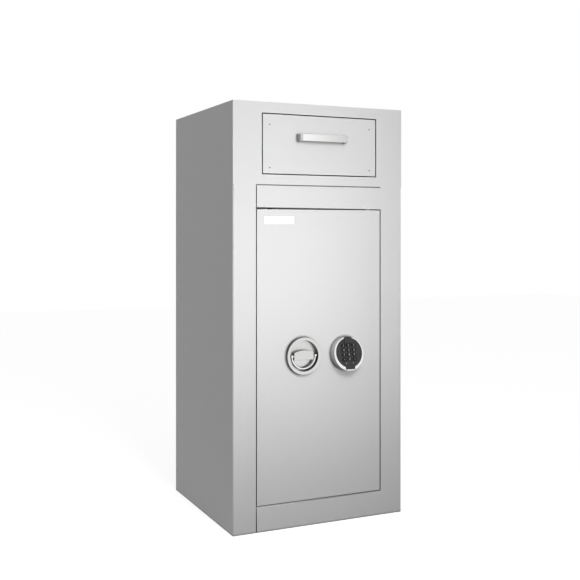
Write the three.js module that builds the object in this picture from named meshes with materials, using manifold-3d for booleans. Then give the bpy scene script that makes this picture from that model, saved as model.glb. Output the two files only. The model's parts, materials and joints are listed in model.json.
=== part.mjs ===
// Drop safe with a deposit drawer: a welded double-skin body with a barrier fill, a flush hinged door with
// a ring handle and a round keypad, and a deposit housing on top whose drawer tips its tray into a throat.
// Millimetres. +X is to the right seen from the front, the front faces -Y, and +Z is up.
// The origin is the middle of the footprint, on the floor.
import * as THREE from 'three';
import { mergeVertices } from 'three/addons/utils/BufferGeometryUtils.js';
import Module from 'manifold-3d';

const wasm = await Module();
wasm.setup();

// Overall sizes
const bodyWidth = 450;
const bodyDepth = 420;
const bodyHeight = 1000;
const housingHeight = 193.5;

// Sheets, fill and clearances
const skin = 3;
const bendRadius = 4;
const barrier = 40;
const linerSheet = 2;
const seam = 2.5;
const fit = 0.25;
const overrun = 6;
const anchorRadius = 7;
const anchorSpanX = 220;
const anchorSpanY = 180;

// Front frame round the door opening
const leftPost = 57;
const rightPost = 59.5;
const bottomRail = 59.25;
const topRail = 54.25;
const stopLip = 7.5;
const lipStart = 27.5;

// Door leaf and the box on its back
const leafPlate = 6;
const leafReturn = 3;
const leafDepth = 25;
const backSheet = 2;
const boxInset = 15.5;
const boxEndInset = 13.5;
const boxDepth = 60;
const coverFlange = 12;

// Concealed pivot
const pivotInset = 38;
const pivotSetBack = 12;
const pinRadius = 6;
const pinReach = 22;
const hingeBlockWidth = 26;
const hingeBlockHeight = 20;
const bushWidth = 30;
const bushHeight = 28;

// Bolt work
const boltRadius = 10;
const boltClear = 0.7;
const boltTipOut = 2;
const boltEndInset = 75.5;
const barWidth = 14;
const barThick = 8;
const barGap = 2;
const guideHalf = 14;
const boltCount = 3;
const barOverhang = 14;
const guideLength = 8;
const toothModule = 2;
const toothCount = 15;
const pinionWidth = 10;
const spindleRadius = 7;
const spindleTail = 12;
const bushWall = 3;
const rackTeeth = 8;
const toothClear = 0.15;
const toothReachShare = 0.8;
const toothRootShare = 1.1;
const pressureAngle = THREE.MathUtils.degToRad(20);
const rackLead = 2;
const rackBefore = 88;
const rackAfter = 4;
const rackHeight = 16;
const armHeight = 18;

// Dead bar on the hinge side
const dogReach = 25;
const dogEndInset = 80.5;
const dogThick = 14;
const dogSetBack = 2;

// Ring handle
const fittingShift = 9.25;
const fittingSpan = 113;
const fittingDrop = 1.25;
const rosetteRadius = 44;
const rosetteRim = 43.8;
const rosetteProud = 11.5;
const rosetteBore = 36.5;
const rosetteSleeve = 0.7;
const rimRound = 0.6;
const recessSink = 2;
const hubGap = 0.7;
const bridgeWidth = 51;
const bridgeBelow = 9.7;
const bridgeAbove = 7.5;
const bridgeArch = 5.4;
const bridgeProud = 9;
const bailRadius = 30.5;
const bailBar = 2.5;
const bailSet = 6;
const bailEye = 3.6;
const bailPinRadius = 1.5;

// Keypad
const keypadRadius = 40;
const keypadRaise = 1;
const keypadProud = 24;
const keypadWall = 3;
const keypadRound = 2;
const keypadSlope = 0.2;
const faceRadius = 35;
const faceRise = 2.3;
const faceSink = 1.2;
const faceThick = 5;
const ledge = 2.5;
const hoodWidth = 20.5;
const hoodProud = 1.5;
const hoodDrop = 15.6;
const keyColumns = 3;
const keyRows = 4;
const keyPitchX = 13.9;
const keyPitchZ = 10.95;
const keyWidth = 10.4;
const keyHeight = 8;
const keyCorner = 2;
const keyProud = 1.4;
const keyDeep = 3.4;
const keyTravel = 1;
const keyRise = 3.1;
const flapWidth = 25;
const flapHeight = 8.2;
const flapThick = 2.6;
const flapDrop = 36.4;
const cableRadius = 6;

// Lock
const lockGap = 3.5;
const lockWidth = 60;
const lockHeight = 83;
const lockDepth = 26;
const lockBoltWidth = 12;
const lockBoltThick = 9;
const lockBoltProud = 2;
const lockBoltThrow = 6;
const lockBoltDeep = 24;

// Deposit housing and throat
const housingSheet = 3;
const mouthSide = 72.1;
const mouthRise = 24.3;
const mouthDrop = 25.7;
const throatSide = 75;
const throatSetBack = 110;
const throatBehind = 60;
const sleeveSheet = 2;
const sleeveLip = 8;
const combInset = 10;
const combSheet = 3;
const combRun = 90;
const combDrop = 70;
const combToothCount = 14;
const combToothDepth = 10;

// Drawer
const drawerPlate = 4;
const drawerSheet = 2;
const drawerFloorRise = 45.2;
const drawerRimDrop = 9.3;
const drawerLength = 240;
const drawerRearDrop = 3;
const drawerTravel = 230;
const drawerFlangeRise = 8.2;
const frontScrewSide = 17.4;
const frontScrewDrop = 24.3;
const frontScrewRise = 13.7;
const frontScrewRadius = 1.6;
const pullWidth = 127;
const pullHeight = 17;
const pullProud = 23;
const pullSheet = 4;
const pullCorner = 8;
const pullRise = 16.45;

// Tipping tray
const trayHingeBack = 8;
const trayHingeDrop = 5;
const trayTip = THREE.MathUtils.degToRad(25);
const trayGap = 2;
const traySheet = 2;
const trayLength = 238;
const traySideEnd = 214;
const traySideFoot = 222;
const trayFootRise = 1.4;
const trayFront = 5;
const traySide = 45;
const trayDrop = 3;
const trayPinRadius = 2.5;
const trayPinProud = 1.4;
const earDepth = 18;
const earDrop = 14;
const guidePinRadius = 4;
const guidePinAt = 231;
const guidePinDrop = 1;
const guidePinProud = 1;
const slotClear = 0.4;
const slotSteps = 14;
const camGap = 2;
const camSheet = 5;
const camMargin = 5;
const camSpacerShares = [0.6, 0.78, 0.95];

// Telescopic runners
const runnerRise = 44;
const runnerHalfHeight = 23;
const runnerSheet = 1.5;
const runnerWidth = 13;
const runnerSetBack = 7;
const runnerLength = 250;
const bracketSheet = 2;
const bracketFoot = 20;
const bracketMargin = 2;

// Roundness of turned shapes
const fineSides = 40;
const roundSides = 24;
const smallSides = 12;
const wireSides = 8;
const curveSteps = 2;
const bandEndSteps = 4;

// Places that follow from the sizes
const halfWidth = bodyWidth / 2;
const front = -bodyDepth / 2;
const back = bodyDepth / 2;
const wall = skin + barrier + linerSheet;
const seamHeight = bodyHeight - housingHeight;
const openingLeft = -halfWidth + leftPost;
const openingRight = halfWidth - rightPost;
const openingBottom = bottomRail;
const openingTop = seamHeight - topRail;
const leafLeft = openingLeft + seam;
const leafRight = openingRight - seam;
const leafBottom = openingBottom + seam;
const leafTop = openingTop - seam;
const leafBack = front + leafDepth;
const frameBack = leafBack + fit + skin;
const linerX = halfWidth - wall;
const linerBottom = wall;
const linerTop = seamHeight - wall;
const linerBack = back - wall;
const boxLeft = leafLeft + boxInset;
const boxRight = leafRight - boxInset;
const boxBottom = leafBottom + boxEndInset;
const boxTop = leafTop - boxEndInset;
const boxFront = leafBack - backSheet;
const boxBack = leafBack + boxDepth;
const coverFront = boxBack - backSheet;
const pivotX = leafLeft + pivotInset;
const pivotY = front + pivotSetBack;
const handleX = (leafLeft + leafRight - fittingSpan) / 2 + fittingShift;
const handleZ = (leafBottom + leafTop) / 2 - fittingDrop;
const keypadX = handleX + fittingSpan;
const keypadZ = handleZ + keypadRaise;
const boltY = frameBack + boltClear + boltRadius;
const boltTip = boxRight + boltTipOut;
const boltSpan = boxTop - boxBottom - 2 * boltEndInset;
const pitchRadius = toothModule * toothCount / 2;
const boltThrow = pitchRadius * Math.PI / 2;
const guideEnd = boxRight - backSheet;
const barRight = guideEnd - guideLength - boltThrow - barGap;
const barLeft = barRight - barWidth;
const lockX = barLeft - lockGap - lockWidth / 2;
const lockTop = handleZ + lockHeight / 2;
const slopeLength = Math.hypot(1, keypadSlope);
const housingFloorTop = seamHeight + housingSheet;
const mouthRight = halfWidth - mouthSide;
const mouthLeft = -mouthRight;
const mouthBottom = seamHeight + mouthRise;
const mouthTop = bodyHeight - mouthDrop;
const throatHalf = halfWidth - throatSide;
const throatFront = front + throatSetBack;
const throatBack = back - throatBehind;
const runnerOutside = throatHalf;
const drawerSide = runnerOutside - runnerWidth;
const drawerFloor = mouthBottom + drawerFloorRise;
const drawerRim = mouthTop - drawerRimDrop;
const drawerRear = front + drawerLength;
const drawerPanelBack = front + drawerPlate + drawerSheet;
const runnerZ = drawerFloor + runnerRise;
const runnerFront = front + runnerSetBack;
const runnerBack = runnerFront + runnerLength;
const trayHingeY = drawerPanelBack + trayHingeBack;
const trayHingeZ = drawerFloor - trayHingeDrop;
const traySideX = drawerSide - drawerSheet - trayGap;
const camInside = drawerSide + camGap;
const camOutside = camInside + camSheet;

// Materials
function material(color, roughness, metalness) {
  return new THREE.MeshStandardMaterial({ color, roughness, metalness });
}
const paint = () => material(0xd9d9d7, 0.55, 0.0);
const steel = () => material(0xb4b6b8, 0.35, 1.0);
const zinc = () => material(0xa9acae, 0.45, 1.0);
const chrome = () => material(0xdadcde, 0.15, 1.0);
const satin = () => material(0xc8cacc, 0.3, 1.0);
const black = () => material(0x1c1d1f, 0.5, 0.0);
const rubber = () => material(0x2a2b2d, 0.8, 0.0);
const concrete = () => material(0x8d8b86, 0.95, 0.0);

// A closed geometry as a solid that can be joined and cut
function solid(geometry) {
  const bare = geometry.clone();
  bare.deleteAttribute('normal');
  bare.deleteAttribute('uv');
  const merged = mergeVertices(bare);
  const triVerts = new Uint32Array(merged.index.array);
  const vertProperties = new Float32Array(merged.attributes.position.array);
  return new wasm.Manifold(new wasm.Mesh({ numProp: 3, vertProperties, triVerts }));
}

function join(first, ...others) {
  return others.reduce((sum, next) => sum.add(next), first);
}

function cut(first, ...others) {
  return others.reduce((rest, next) => rest.subtract(next), first);
}

// Puts a unit-long shape's two ends on exact values along one axis, so that faces that touch are the same
function stretchEnds(geometry, axis, from, to) {
  const places = geometry.attributes.position;
  for (let i = 0; i < places.count; i += 1) {
    places.setComponent(i, axis, places.getComponent(i, axis) < 0 ? from : to);
  }
  return geometry;
}

// A box between two corners
function block(x0, x1, y0, y1, z0, z1) {
  const geometry = new THREE.BoxGeometry(1, 1, 1);
  stretchEnds(geometry, 0, x0, x1);
  stretchEnds(geometry, 1, y0, y1);
  stretchEnds(geometry, 2, z0, z1);
  return solid(geometry);
}

// A round bar along one axis: a and b are its place on the other two axes, in X, Y, Z order
function rod(axis, radius, from, to, a, b, sides = roundSides) {
  const geometry = new THREE.CylinderGeometry(radius, radius, 1, sides);
  if (axis === 'x') {
    geometry.rotateZ(Math.PI / 2);
    geometry.translate(0, a, b);
  } else if (axis === 'y') {
    geometry.translate(a, 0, b);
  } else {
    geometry.rotateX(Math.PI / 2);
    geometry.translate(a, b, 0);
  }
  return solid(stretchEnds(geometry, 'xyz'.indexOf(axis), from, to));
}

// An outline pushed along one axis: its points are on the other two axes, in X, Y, Z order
function prism(axis, outline, from, to) {
  const shape = outline instanceof THREE.Shape ? outline : new THREE.Shape(outline);
  const settings = { depth: 1, bevelEnabled: false, curveSegments: curveSteps };
  const geometry = new THREE.ExtrudeGeometry(shape, settings);
  geometry.translate(0, 0, -1 / 2);
  if (axis === 'x') {
    geometry.rotateY(Math.PI / 2);
    geometry.rotateX(Math.PI / 2);
  } else if (axis === 'y') {
    geometry.rotateX(Math.PI / 2);
  }
  return solid(stretchEnds(geometry, 'xyz'.indexOf(axis), from, to));
}

// A turned shape about the Y axis: its outline holds points of radius and y, and closes on itself or the axis
function turned(outline) {
  return solid(new THREE.LatheGeometry(points(outline), fineSides));
}

// A solid's triangles as a geometry
function triangles(body) {
  const shape = body.getMesh();
  const geometry = new THREE.BufferGeometry();
  geometry.setAttribute('position', new THREE.BufferAttribute(shape.vertProperties, 3));
  geometry.setIndex(new THREE.BufferAttribute(shape.triVerts, 1));
  return geometry;
}

// The same solid with each point moved back in step with its height, which gives the keypad its sloped front
function sloped(body) {
  const slant = new THREE.Matrix4().makeShear(0, 0, 0, 0, 0, keypadSlope);
  return solid(triangles(body).applyMatrix4(slant));
}

function points(list) {
  return list.map(([u, v]) => new THREE.Vector2(u, v));
}

// A rectangle with round corners, centred on a point
function roundedRectangle(u, v, width, height, radius) {
  const shape = new THREE.Shape();
  const a = width / 2 - radius;
  const b = height / 2 - radius;
  shape.absarc(u + a, v + b, radius, 0, Math.PI / 2);
  shape.absarc(u - a, v + b, radius, Math.PI / 2, Math.PI);
  shape.absarc(u - a, v - b, radius, Math.PI, Math.PI * 3 / 2);
  shape.absarc(u + a, v - b, radius, Math.PI * 3 / 2, Math.PI * 2);
  return shape;
}

// Evenly spaced places, centred on a value
function spread(count, span, middle) {
  return Array.from({ length: count }, (_, i) => middle + span * (i / (count - 1) - 1 / 2));
}

const safe = new THREE.Group();
const drawer = new THREE.Group();
const tray = new THREE.Group();
const door = new THREE.Group();
const handle = new THREE.Group();
const keypad = new THREE.Group();
safe.add(drawer, door);
drawer.add(tray);
door.add(handle, keypad);
tray.position.set(0, trayHingeY, trayHingeZ);
tray.rotation.x = -trayTip;
handle.position.set(handleX, front, handleZ);
keypad.position.set(keypadX, front, keypadZ);

function place(name, body, look, group = safe) {
  const mesh = new THREE.Mesh(triangles(body), look());
  mesh.name = name;
  group.add(mesh);
}

// Bolt-down holes through the floor
function anchorHoles() {
  const holes = [];
  for (const x of spread(2, anchorSpanX, 0)) {
    for (const y of spread(2, anchorSpanY, 0)) {
      holes.push(rod('z', anchorRadius, -overrun, linerBottom + overrun, x, y, smallSides));
    }
  }
  return holes;
}

function throatHole(zFrom, zTo) {
  return block(-throatHalf, throatHalf, throatFront, throatBack, zFrom, zTo);
}

// Outer sheet of the lower body: back, sides folded round the front corners, floor and roof
function bodyShell() {
  const shape = new THREE.Shape();
  const x = halfWidth - bendRadius;
  const y = front + bendRadius;
  const inner = bendRadius - skin;
  shape.moveTo(-x, front);
  shape.absarc(-x, y, bendRadius, -Math.PI / 2, -Math.PI, true);
  shape.lineTo(-halfWidth, back);
  shape.lineTo(halfWidth, back);
  shape.absarc(x, y, bendRadius, 0, -Math.PI / 2, true);
  shape.lineTo(x, front + skin);
  shape.absarc(x, y, inner, -Math.PI / 2, 0, false);
  shape.lineTo(halfWidth - skin, back - skin);
  shape.lineTo(-halfWidth + skin, back - skin);
  shape.absarc(-x, y, inner, -Math.PI, -Math.PI / 2, false);
  const walls = prism('z', shape, 0, seamHeight);
  const bite = skin / 2;
  const edge = halfWidth - bite;
  const floor = block(-edge, edge, front + skin, back - bite, 0, skin);
  const roof = block(-edge, edge, front + skin, back - bite, seamHeight - skin, seamHeight);
  const body = join(walls, floor, roof);
  place('body_shell', cut(body, throatHole(linerTop, seamHeight + overrun), ...anchorHoles()), paint);
}

// Fill between the two skins, open at the door and at the throat
function barrierFill() {
  const x = halfWidth - skin;
  const outer = block(-x, x, frameBack, back - skin, skin, seamHeight - skin);
  const hollowX = linerX + linerSheet;
  const hollow = block(-hollowX, hollowX, frameBack - overrun, linerBack + linerSheet,
    linerBottom - linerSheet, linerTop + linerSheet);
  place('barrier_fill', cut(outer, hollow, throatHole(linerTop, seamHeight), ...anchorHoles()), concrete);
}

// Inner sheet of the lower body, open at the front
function innerLiner() {
  const x = linerX + linerSheet;
  const outer = block(-x, x, frameBack, linerBack + linerSheet,
    linerBottom - linerSheet, linerTop + linerSheet);
  const hollow = block(-linerX, linerX, frameBack - overrun, linerBack, linerBottom, linerTop);
  const throat = throatHole(linerTop - overrun, seamHeight);
  place('inner_liner', cut(outer, hollow, throat, ...anchorHoles()), paint);
}

// Heights of the blocks behind the rails that hold the pivot pins
function hingeBlockSpans() {
  const lower = openingBottom - skin;
  const upper = openingTop + skin;
  return [[lower - hingeBlockHeight, lower], [upper, upper + hingeBlockHeight]];
}

// Right post, top rail and bottom rail with their returns round the opening, the lip the leaf shuts on,
// and the blocks for the pivot pins
function frontFrame() {
  const right = halfWidth - bendRadius;
  const inside = halfWidth - skin;
  const face = front + skin;
  const lipFront = frameBack - skin;
  const railTop = seamHeight - seam / 2;
  const post = block(openingRight, right, front, face, 0, seamHeight);
  const postEnd = openingRight + skin;
  const top = block(leafLeft, postEnd, front, face, openingTop, railTop);
  const bottom = block(leafLeft, postEnd, front, face, 0, openingBottom);
  const postReturn = block(openingRight, postEnd, front, frameBack,
    openingBottom - skin, openingTop + skin);
  const topReturn = block(leafLeft, postEnd, front, frameBack, openingTop, openingTop + skin);
  const bottomReturn = block(leafLeft, postEnd, front, frameBack, openingBottom - skin, openingBottom);
  const lipX = openingRight - stopLip;
  const lipLeft = pivotX + lipStart;
  const sideLip = block(lipX, inside, lipFront, frameBack, skin, seamHeight - skin);
  const topLip = block(lipLeft, postEnd, lipFront, frameBack, openingTop - stopLip, openingTop + skin);
  const bottomLip = block(lipLeft, postEnd, lipFront, frameBack,
    openingBottom - skin, openingBottom + stopLip);
  let frame = join(post, top, bottom, postReturn, topReturn, bottomReturn, sideLip, topLip, bottomLip);
  const half = hingeBlockWidth / 2;
  const blocks = hingeBlockSpans().map(([z0, z1]) => (
    block(pivotX - half, pivotX + half, face, lipFront - fit, z0, z1)));
  const hole = rod('z', pinRadius + fit, 0, seamHeight, pivotX, pivotY);
  frame = join(frame, ...blocks).subtract(hole);
  place('front_frame', frame, paint);
}

// Left post, folded in beside the leaf, with the flange that the dead bar catches behind
function hingePost() {
  const left = -halfWidth + bendRadius;
  const face = block(left, openingLeft, front, front + skin, 0, seamHeight);
  const edge = openingLeft - skin;
  const fold = block(edge, openingLeft, front, frameBack, skin, seamHeight - skin);
  const flange = block(-halfWidth + skin, openingLeft, frameBack - skin, frameBack, skin, seamHeight - skin);
  place('hinge_post', join(face, fold, flange), paint);
}

// Pins that the leaf turns on, held in the blocks behind the rails
function hingePins() {
  const [[lower], [, upper]] = hingeBlockSpans();
  place('hinge_pin_lower', rod('z', pinRadius, lower, leafBottom + pinReach, pivotX, pivotY), steel);
  place('hinge_pin_upper', rod('z', pinRadius, leafTop - pinReach, upper, pivotX, pivotY), steel);
}

// Deposit housing on top: a folded box with the drawer mouth and the throat in its floor
function upperHousing() {
  const t = housingSheet;
  const outer = block(-halfWidth, halfWidth, front, back, seamHeight, bodyHeight);
  const inner = block(-halfWidth + t, halfWidth - t, front + t, back - t, housingFloorTop, bodyHeight - t);
  const mouth = block(mouthLeft, mouthRight, front - overrun, front + t + overrun, mouthBottom, mouthTop);
  const edgeCut = block(openingLeft, openingRight - seam / 2, front - overrun, front + t,
    seamHeight - overrun, seamHeight + seam / 2);
  const throat = throatHole(seamHeight - overrun, housingFloorTop + overrun);
  place('upper_housing', cut(outer, inner, mouth, edgeCut, throat), paint);
}

// Sleeve that lines the throat, with a lip on the housing floor behind it
function throatSleeve() {
  const top = housingFloorTop + sleeveSheet;
  const inside = throatHalf - sleeveSheet;
  const tube = block(-throatHalf, throatHalf, throatFront, throatBack, linerTop, housingFloorTop);
  const lip = block(-throatHalf, throatHalf, throatBack - sleeveSheet, throatBack + sleeveLip,
    housingFloorTop, top);
  const hole = block(-inside, inside, throatFront + sleeveSheet, throatBack - sleeveSheet,
    linerTop - overrun, top + overrun);
  place('throat_sleeve', join(tube.subtract(hole), lip), zinc);
}

// Saw-toothed plate that hangs below the throat, so that nothing is drawn back up
function antiFishingComb() {
  const half = throatHalf - combInset;
  const root = linerTop - combSheet;
  const slope = Math.hypot(combRun, combDrop);
  const normalY = combDrop / slope * combSheet;
  const normalZ = combRun / slope * combSheet;
  const profile = points([
    [linerBack, root], [linerBack, linerTop], [throatBack, linerTop],
    [throatBack - combRun, linerTop - combDrop],
    [throatBack - combRun + normalY, linerTop - combDrop - normalZ], [throatBack + normalY, root],
  ]);
  const plate = prism('x', profile, -half, half);
  const pitch = 2 * half / combToothCount;
  const edgeY = throatBack - combRun;
  const edgeZ = linerTop - combDrop;
  const along = combToothDepth / slope;
  const notches = [];
  for (let i = 0; i < combToothCount; i += 1) {
    const x = -half + pitch * (i + 1 / 2);
    const mark = points([
      [x - pitch / 2, edgeY - overrun], [x + pitch / 2, edgeY - overrun],
      [x + pitch / 2, edgeY], [x, edgeY + along * combRun], [x - pitch / 2, edgeY],
    ]);
    notches.push(prism('z', mark, edgeZ - overrun - combToothDepth, edgeZ + overrun + combToothDepth));
  }
  place('anti_fishing_comb', cut(plate, ...notches), zinc);
}

// A block given for the right side, or its mirror on the left
function sided(side, x0, x1, y0, y1, z0, z1) {
  return side > 0 ? block(x0, x1, y0, y1, z0, z1) : block(-x1, -x0, y0, y1, z0, z1);
}

function sidedRod(side, radius, x0, x1, y, z, sides = smallSides) {
  return side > 0 ? rod('x', radius, x0, x1, y, z, sides) : rod('x', radius, -x1, -x0, y, z, sides);
}

function sidedPrism(side, outline, x0, x1) {
  return side > 0 ? prism('x', outline, x0, x1) : prism('x', outline, -x1, -x0);
}

// Path of the tray's guide pin while the drawer runs out, as [y, z]
function guidePath() {
  const path = [];
  for (let i = 0; i <= slotSteps; i += 1) {
    const out = drawerTravel * i / slotSteps;
    const tip = trayTip * (1 - i / slotSteps);
    const y = guidePinAt * Math.cos(tip) - guidePinDrop * Math.sin(tip);
    const z = -guidePinAt * Math.sin(tip) - guidePinDrop * Math.cos(tip);
    path.push(new THREE.Vector2(trayHingeY - out + y, trayHingeZ + z));
  }
  return path;
}

// Directions across a path, one at each of its points
function normals(path) {
  return path.map((_, i) => {
    const before = path[Math.max(i - 1, 0)];
    const after = path[Math.min(i + 1, path.length - 1)];
    const along = after.clone().sub(before).normalize();
    return new THREE.Vector2(-along.y, along.x);
  });
}

// A band of even half width round a path, with round ends
function band(path, half) {
  const across = normals(path);
  const turn = (at, from) => Array.from({ length: bandEndSteps - 1 }, (_, k) => {
    const step = from.clone().rotateAround(new THREE.Vector2(), -Math.PI * (k + 1) / bandEndSteps);
    return at.clone().addScaledVector(step, half);
  });
  const last = path.length - 1;
  const upper = path.map((p, i) => p.clone().addScaledVector(across[i], half));
  const lower = path.map((p, i) => p.clone().addScaledVector(across[i], -half));
  const end = turn(path[last], across[last]);
  const start = turn(path[0], across[0].clone().negate());
  return [...upper, ...end, ...lower.reverse(), ...start];
}

// Curved slots beside the tray that turn it level as the drawer comes out
function camPlate(side, name) {
  const path = guidePath();
  const slotHalf = guidePinRadius + slotClear;
  let plate = sidedPrism(side, band(path, slotHalf + camMargin), camInside, camOutside);
  const across = normals(path);
  for (const share of camSpacerShares) {
    const i = Math.round(share * slotSteps);
    const at = path[i].clone().addScaledVector(across[i], -slotHalf - camMargin / 2);
    plate = plate.add(sidedRod(side, camMargin / 2, camInside, runnerOutside, at.x, at.y));
  }
  const slot = sidedPrism(side, band(path, slotHalf), camInside - overrun, camOutside + overrun);
  place(name, plate.subtract(slot), zinc);
}

// Plates that carry the runners and the cam plates, with a foot welded to the housing floor
function runnerBracket(side) {
  const outside = runnerOutside + bracketSheet;
  const top = runnerZ + runnerHalfHeight + bracketMargin;
  const web = sided(side, runnerOutside, outside, runnerFront, runnerBack, housingFloorTop, top);
  const foot = sided(side, runnerOutside, outside + bracketFoot, runnerFront, runnerBack,
    housingFloorTop, housingFloorTop + bracketSheet);
  return join(web, foot);
}

// One member of a telescopic runner: a channel with its web at x0 and its lips reaching to x1
function channel(side, web, lipEnd, half) {
  const inner = half - runnerSheet;
  const webEnd = web < lipEnd ? web + runnerSheet : web - runnerSheet;
  const low = Math.min(web, lipEnd);
  const high = Math.max(web, lipEnd);
  const outer = sided(side, low, high, runnerFront, runnerBack, runnerZ - half, runnerZ + half);
  const from = web < lipEnd ? webEnd : low - overrun;
  const to = web < lipEnd ? high + overrun : webEnd;
  const hollow = sided(side, from, to, runnerFront - overrun, runnerBack + overrun,
    runnerZ - inner, runnerZ + inner);
  return outer.subtract(hollow);
}

function runners() {
  const step = runnerSheet + fit;
  const middleWeb = runnerOutside - step;
  for (const [side, name] of [[-1, 'left'], [1, 'right']]) {
    const outer = channel(side, runnerOutside, drawerSide + step, runnerHalfHeight);
    const middle = channel(side, middleWeb, drawerSide + step, runnerHalfHeight - step);
    const inner = channel(side, drawerSide, middleWeb - step, runnerHalfHeight - 2 * step);
    place(`runner_outer_${name}`, outer, zinc);
    place(`runner_middle_${name}`, middle, zinc);
    place(`runner_inner_${name}`, inner, zinc, drawer);
    place(`runner_bracket_${name}`, runnerBracket(side), zinc);
    camPlate(side, `tray_cam_plate_${name}`);
  }
}

function frontScrewHoles(from, to) {
  const right = mouthRight - seam - frontScrewSide;
  const low = mouthBottom + seam + frontScrewRise;
  const high = mouthTop - seam - frontScrewDrop;
  const places = [-right, right].flatMap((x) => [[x, low], [x, high]]);
  return places.map(([x, z]) => rod('y', frontScrewRadius, from, to, x, z, smallSides));
}

// Flush drawer front with four small screw holes, and the strap pull on it
function drawerFront() {
  const left = mouthLeft + seam;
  const right = mouthRight - seam;
  const plate = block(left, right, front, front + drawerPlate, mouthBottom + seam, mouthTop - seam);
  const holes = frontScrewHoles(front - overrun, front + drawerPlate + overrun);
  place('drawer_front', cut(plate, ...holes), paint, drawer);
  const pull = new THREE.Shape();
  const x = pullWidth / 2;
  const y = front - pullProud;
  const inner = pullCorner - pullSheet;
  pull.moveTo(-x, front);
  pull.absarc(-x + pullCorner, y + pullCorner, pullCorner, Math.PI, Math.PI * 3 / 2);
  pull.absarc(x - pullCorner, y + pullCorner, pullCorner, Math.PI * 3 / 2, Math.PI * 2);
  pull.lineTo(x, front);
  pull.lineTo(x - pullSheet, front);
  pull.absarc(x - pullCorner, y + pullCorner, inner, 0, -Math.PI / 2, true);
  pull.absarc(-x + pullCorner, y + pullCorner, inner, -Math.PI / 2, -Math.PI, true);
  pull.lineTo(-x + pullSheet, front);
  const middle = (mouthBottom + mouthTop) / 2 + pullRise;
  place('drawer_handle', prism('z', pull, middle - pullHeight / 2, middle + pullHeight / 2), satin, drawer);
}

// Box behind the drawer front: a panel, two sides, and a rear wall that shuts the mouth when it is pulled out
function drawerBox() {
  const x = drawerSide;
  const start = front + drawerPlate;
  const flange = mouthBottom + drawerFlangeRise;
  const earEnd = start + earDepth;
  const earBottom = drawerFloor - earDrop;
  const rearFace = drawerRear - drawerSheet;
  const inside = x - drawerSheet;
  const outer = block(-x, x, start, drawerRear, flange, drawerRim);
  const below = flange - overrun;
  const rearBottom = drawerFloor - drawerRearDrop;
  const hollow = block(-inside, inside, drawerPanelBack, rearFace, below, drawerRim + overrun);
  const under = prism('x', points([
    [drawerPanelBack, below], [drawerPanelBack, earBottom], [earEnd, earBottom], [earEnd, drawerFloor],
    [rearFace, drawerFloor], [rearFace, rearBottom], [drawerRear + overrun, rearBottom],
    [drawerRear + overrun, below],
  ]), -x - overrun, x + overrun);
  const pinHole = rod('x', trayPinRadius + fit, -x - overrun, x + overrun,
    trayHingeY, trayHingeZ, smallSides);
  const holes = frontScrewHoles(start - overrun, drawerPanelBack + overrun);
  place('drawer_box', cut(outer, hollow, under, pinHole, ...holes), zinc, drawer);
}

// Tipping tray, modelled level about its hinge line and hung tipped in its group
function dropTray() {
  const x = traySideX;
  const low = -trayDrop - traySheet;
  const floor = block(-x, x, -trayFront, trayLength, low, -trayDrop);
  const outline = points([
    [-trayFront, low], [trayLength, low], [trayLength, trayFootRise], [traySideFoot, trayFootRise],
    [traySideEnd, traySide], [-trayFront, traySide],
  ]);
  const sides = [];
  const holes = [];
  const guides = [];
  for (const side of [-1, 1]) {
    sides.push(sidedPrism(side, outline, x - traySheet, x));
    holes.push(sidedRod(side, trayPinRadius + fit, x - traySheet - overrun, x + overrun, 0, 0));
    guides.push(sidedRod(side, guidePinRadius, x - traySheet, camOutside + guidePinProud,
      guidePinAt, -guidePinDrop));
  }
  place('drop_tray', cut(join(floor, ...sides, ...guides), ...holes), zinc, tray);
}

// Rod that the tray tips on, across the front of the drawer
function trayHingeRod() {
  const end = drawerSide + trayPinProud;
  const body = rod('x', trayPinRadius, -end, end, trayHingeY, trayHingeZ, smallSides);
  place('tray_hinge_rod', body, steel, drawer);
}

// Door leaf: a thick front plate with returns all round its edge
function doorLeaf() {
  const plate = block(leafLeft, leafRight, front, leafBack, leafBottom, leafTop);
  const hollow = block(leafLeft + leafReturn, leafRight - leafReturn, front + leafPlate, leafBack + overrun,
    leafBottom + leafReturn, leafTop - leafReturn);
  const through = [front - overrun, front + leafPlate + overrun];
  const handleHole = rod('y', rosetteBore + rosetteSleeve + fit, ...through, handleX, handleZ, fineSides);
  const cableHole = rod('y', cableRadius, ...through, keypadX, handleZ, smallSides);
  const pivotHole = rod('z', pinRadius + fit, leafBottom - overrun, leafTop + overrun, pivotX, pivotY);
  place('door_leaf', cut(plate, hollow, handleHole, cableHole, pivotHole), paint, door);
}

function bushSpans() {
  const low = leafBottom + leafReturn;
  const high = leafTop - leafReturn;
  return [[low, low + bushHeight], [high - bushHeight, high]];
}

// Barrier slab inside the leaf
function doorFill() {
  const slab = block(leafLeft + leafReturn, leafRight - leafReturn, front + leafPlate, boxFront,
    leafBottom + leafReturn, leafTop - leafReturn);
  const half = bushWidth / 2 + fit;
  const pockets = bushSpans().map(([z0, z1]) => (
    block(pivotX - half, pivotX + half, front, leafBack, z0 - overrun, z1 + overrun)));
  const bushHole = spindleRadius + fit + bushWall + fit;
  const through = [front, leafBack];
  const spindleHole = rod('y', bushHole, ...through, handleX, handleZ);
  const cableHole = rod('y', cableRadius, ...through, keypadX, handleZ, smallSides);
  place('door_fill', cut(slab, ...pockets, spindleHole, cableHole), concrete, door);
}

function hingeBushes() {
  const half = bushWidth / 2;
  bushSpans().forEach(([z0, z1], i) => {
    const piece = block(pivotX - half, pivotX + half, front + leafPlate, boxFront, z0, z1);
    const bore = rod('z', pinRadius + fit, z0 - overrun, z1 + overrun, pivotX, pivotY);
    place(['hinge_bush_lower', 'hinge_bush_upper'][i], piece.subtract(bore), zinc, door);
  });
}

function boltPlaces() {
  return spread(boltCount, boltSpan, (boxBottom + boxTop) / 2);
}

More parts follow.
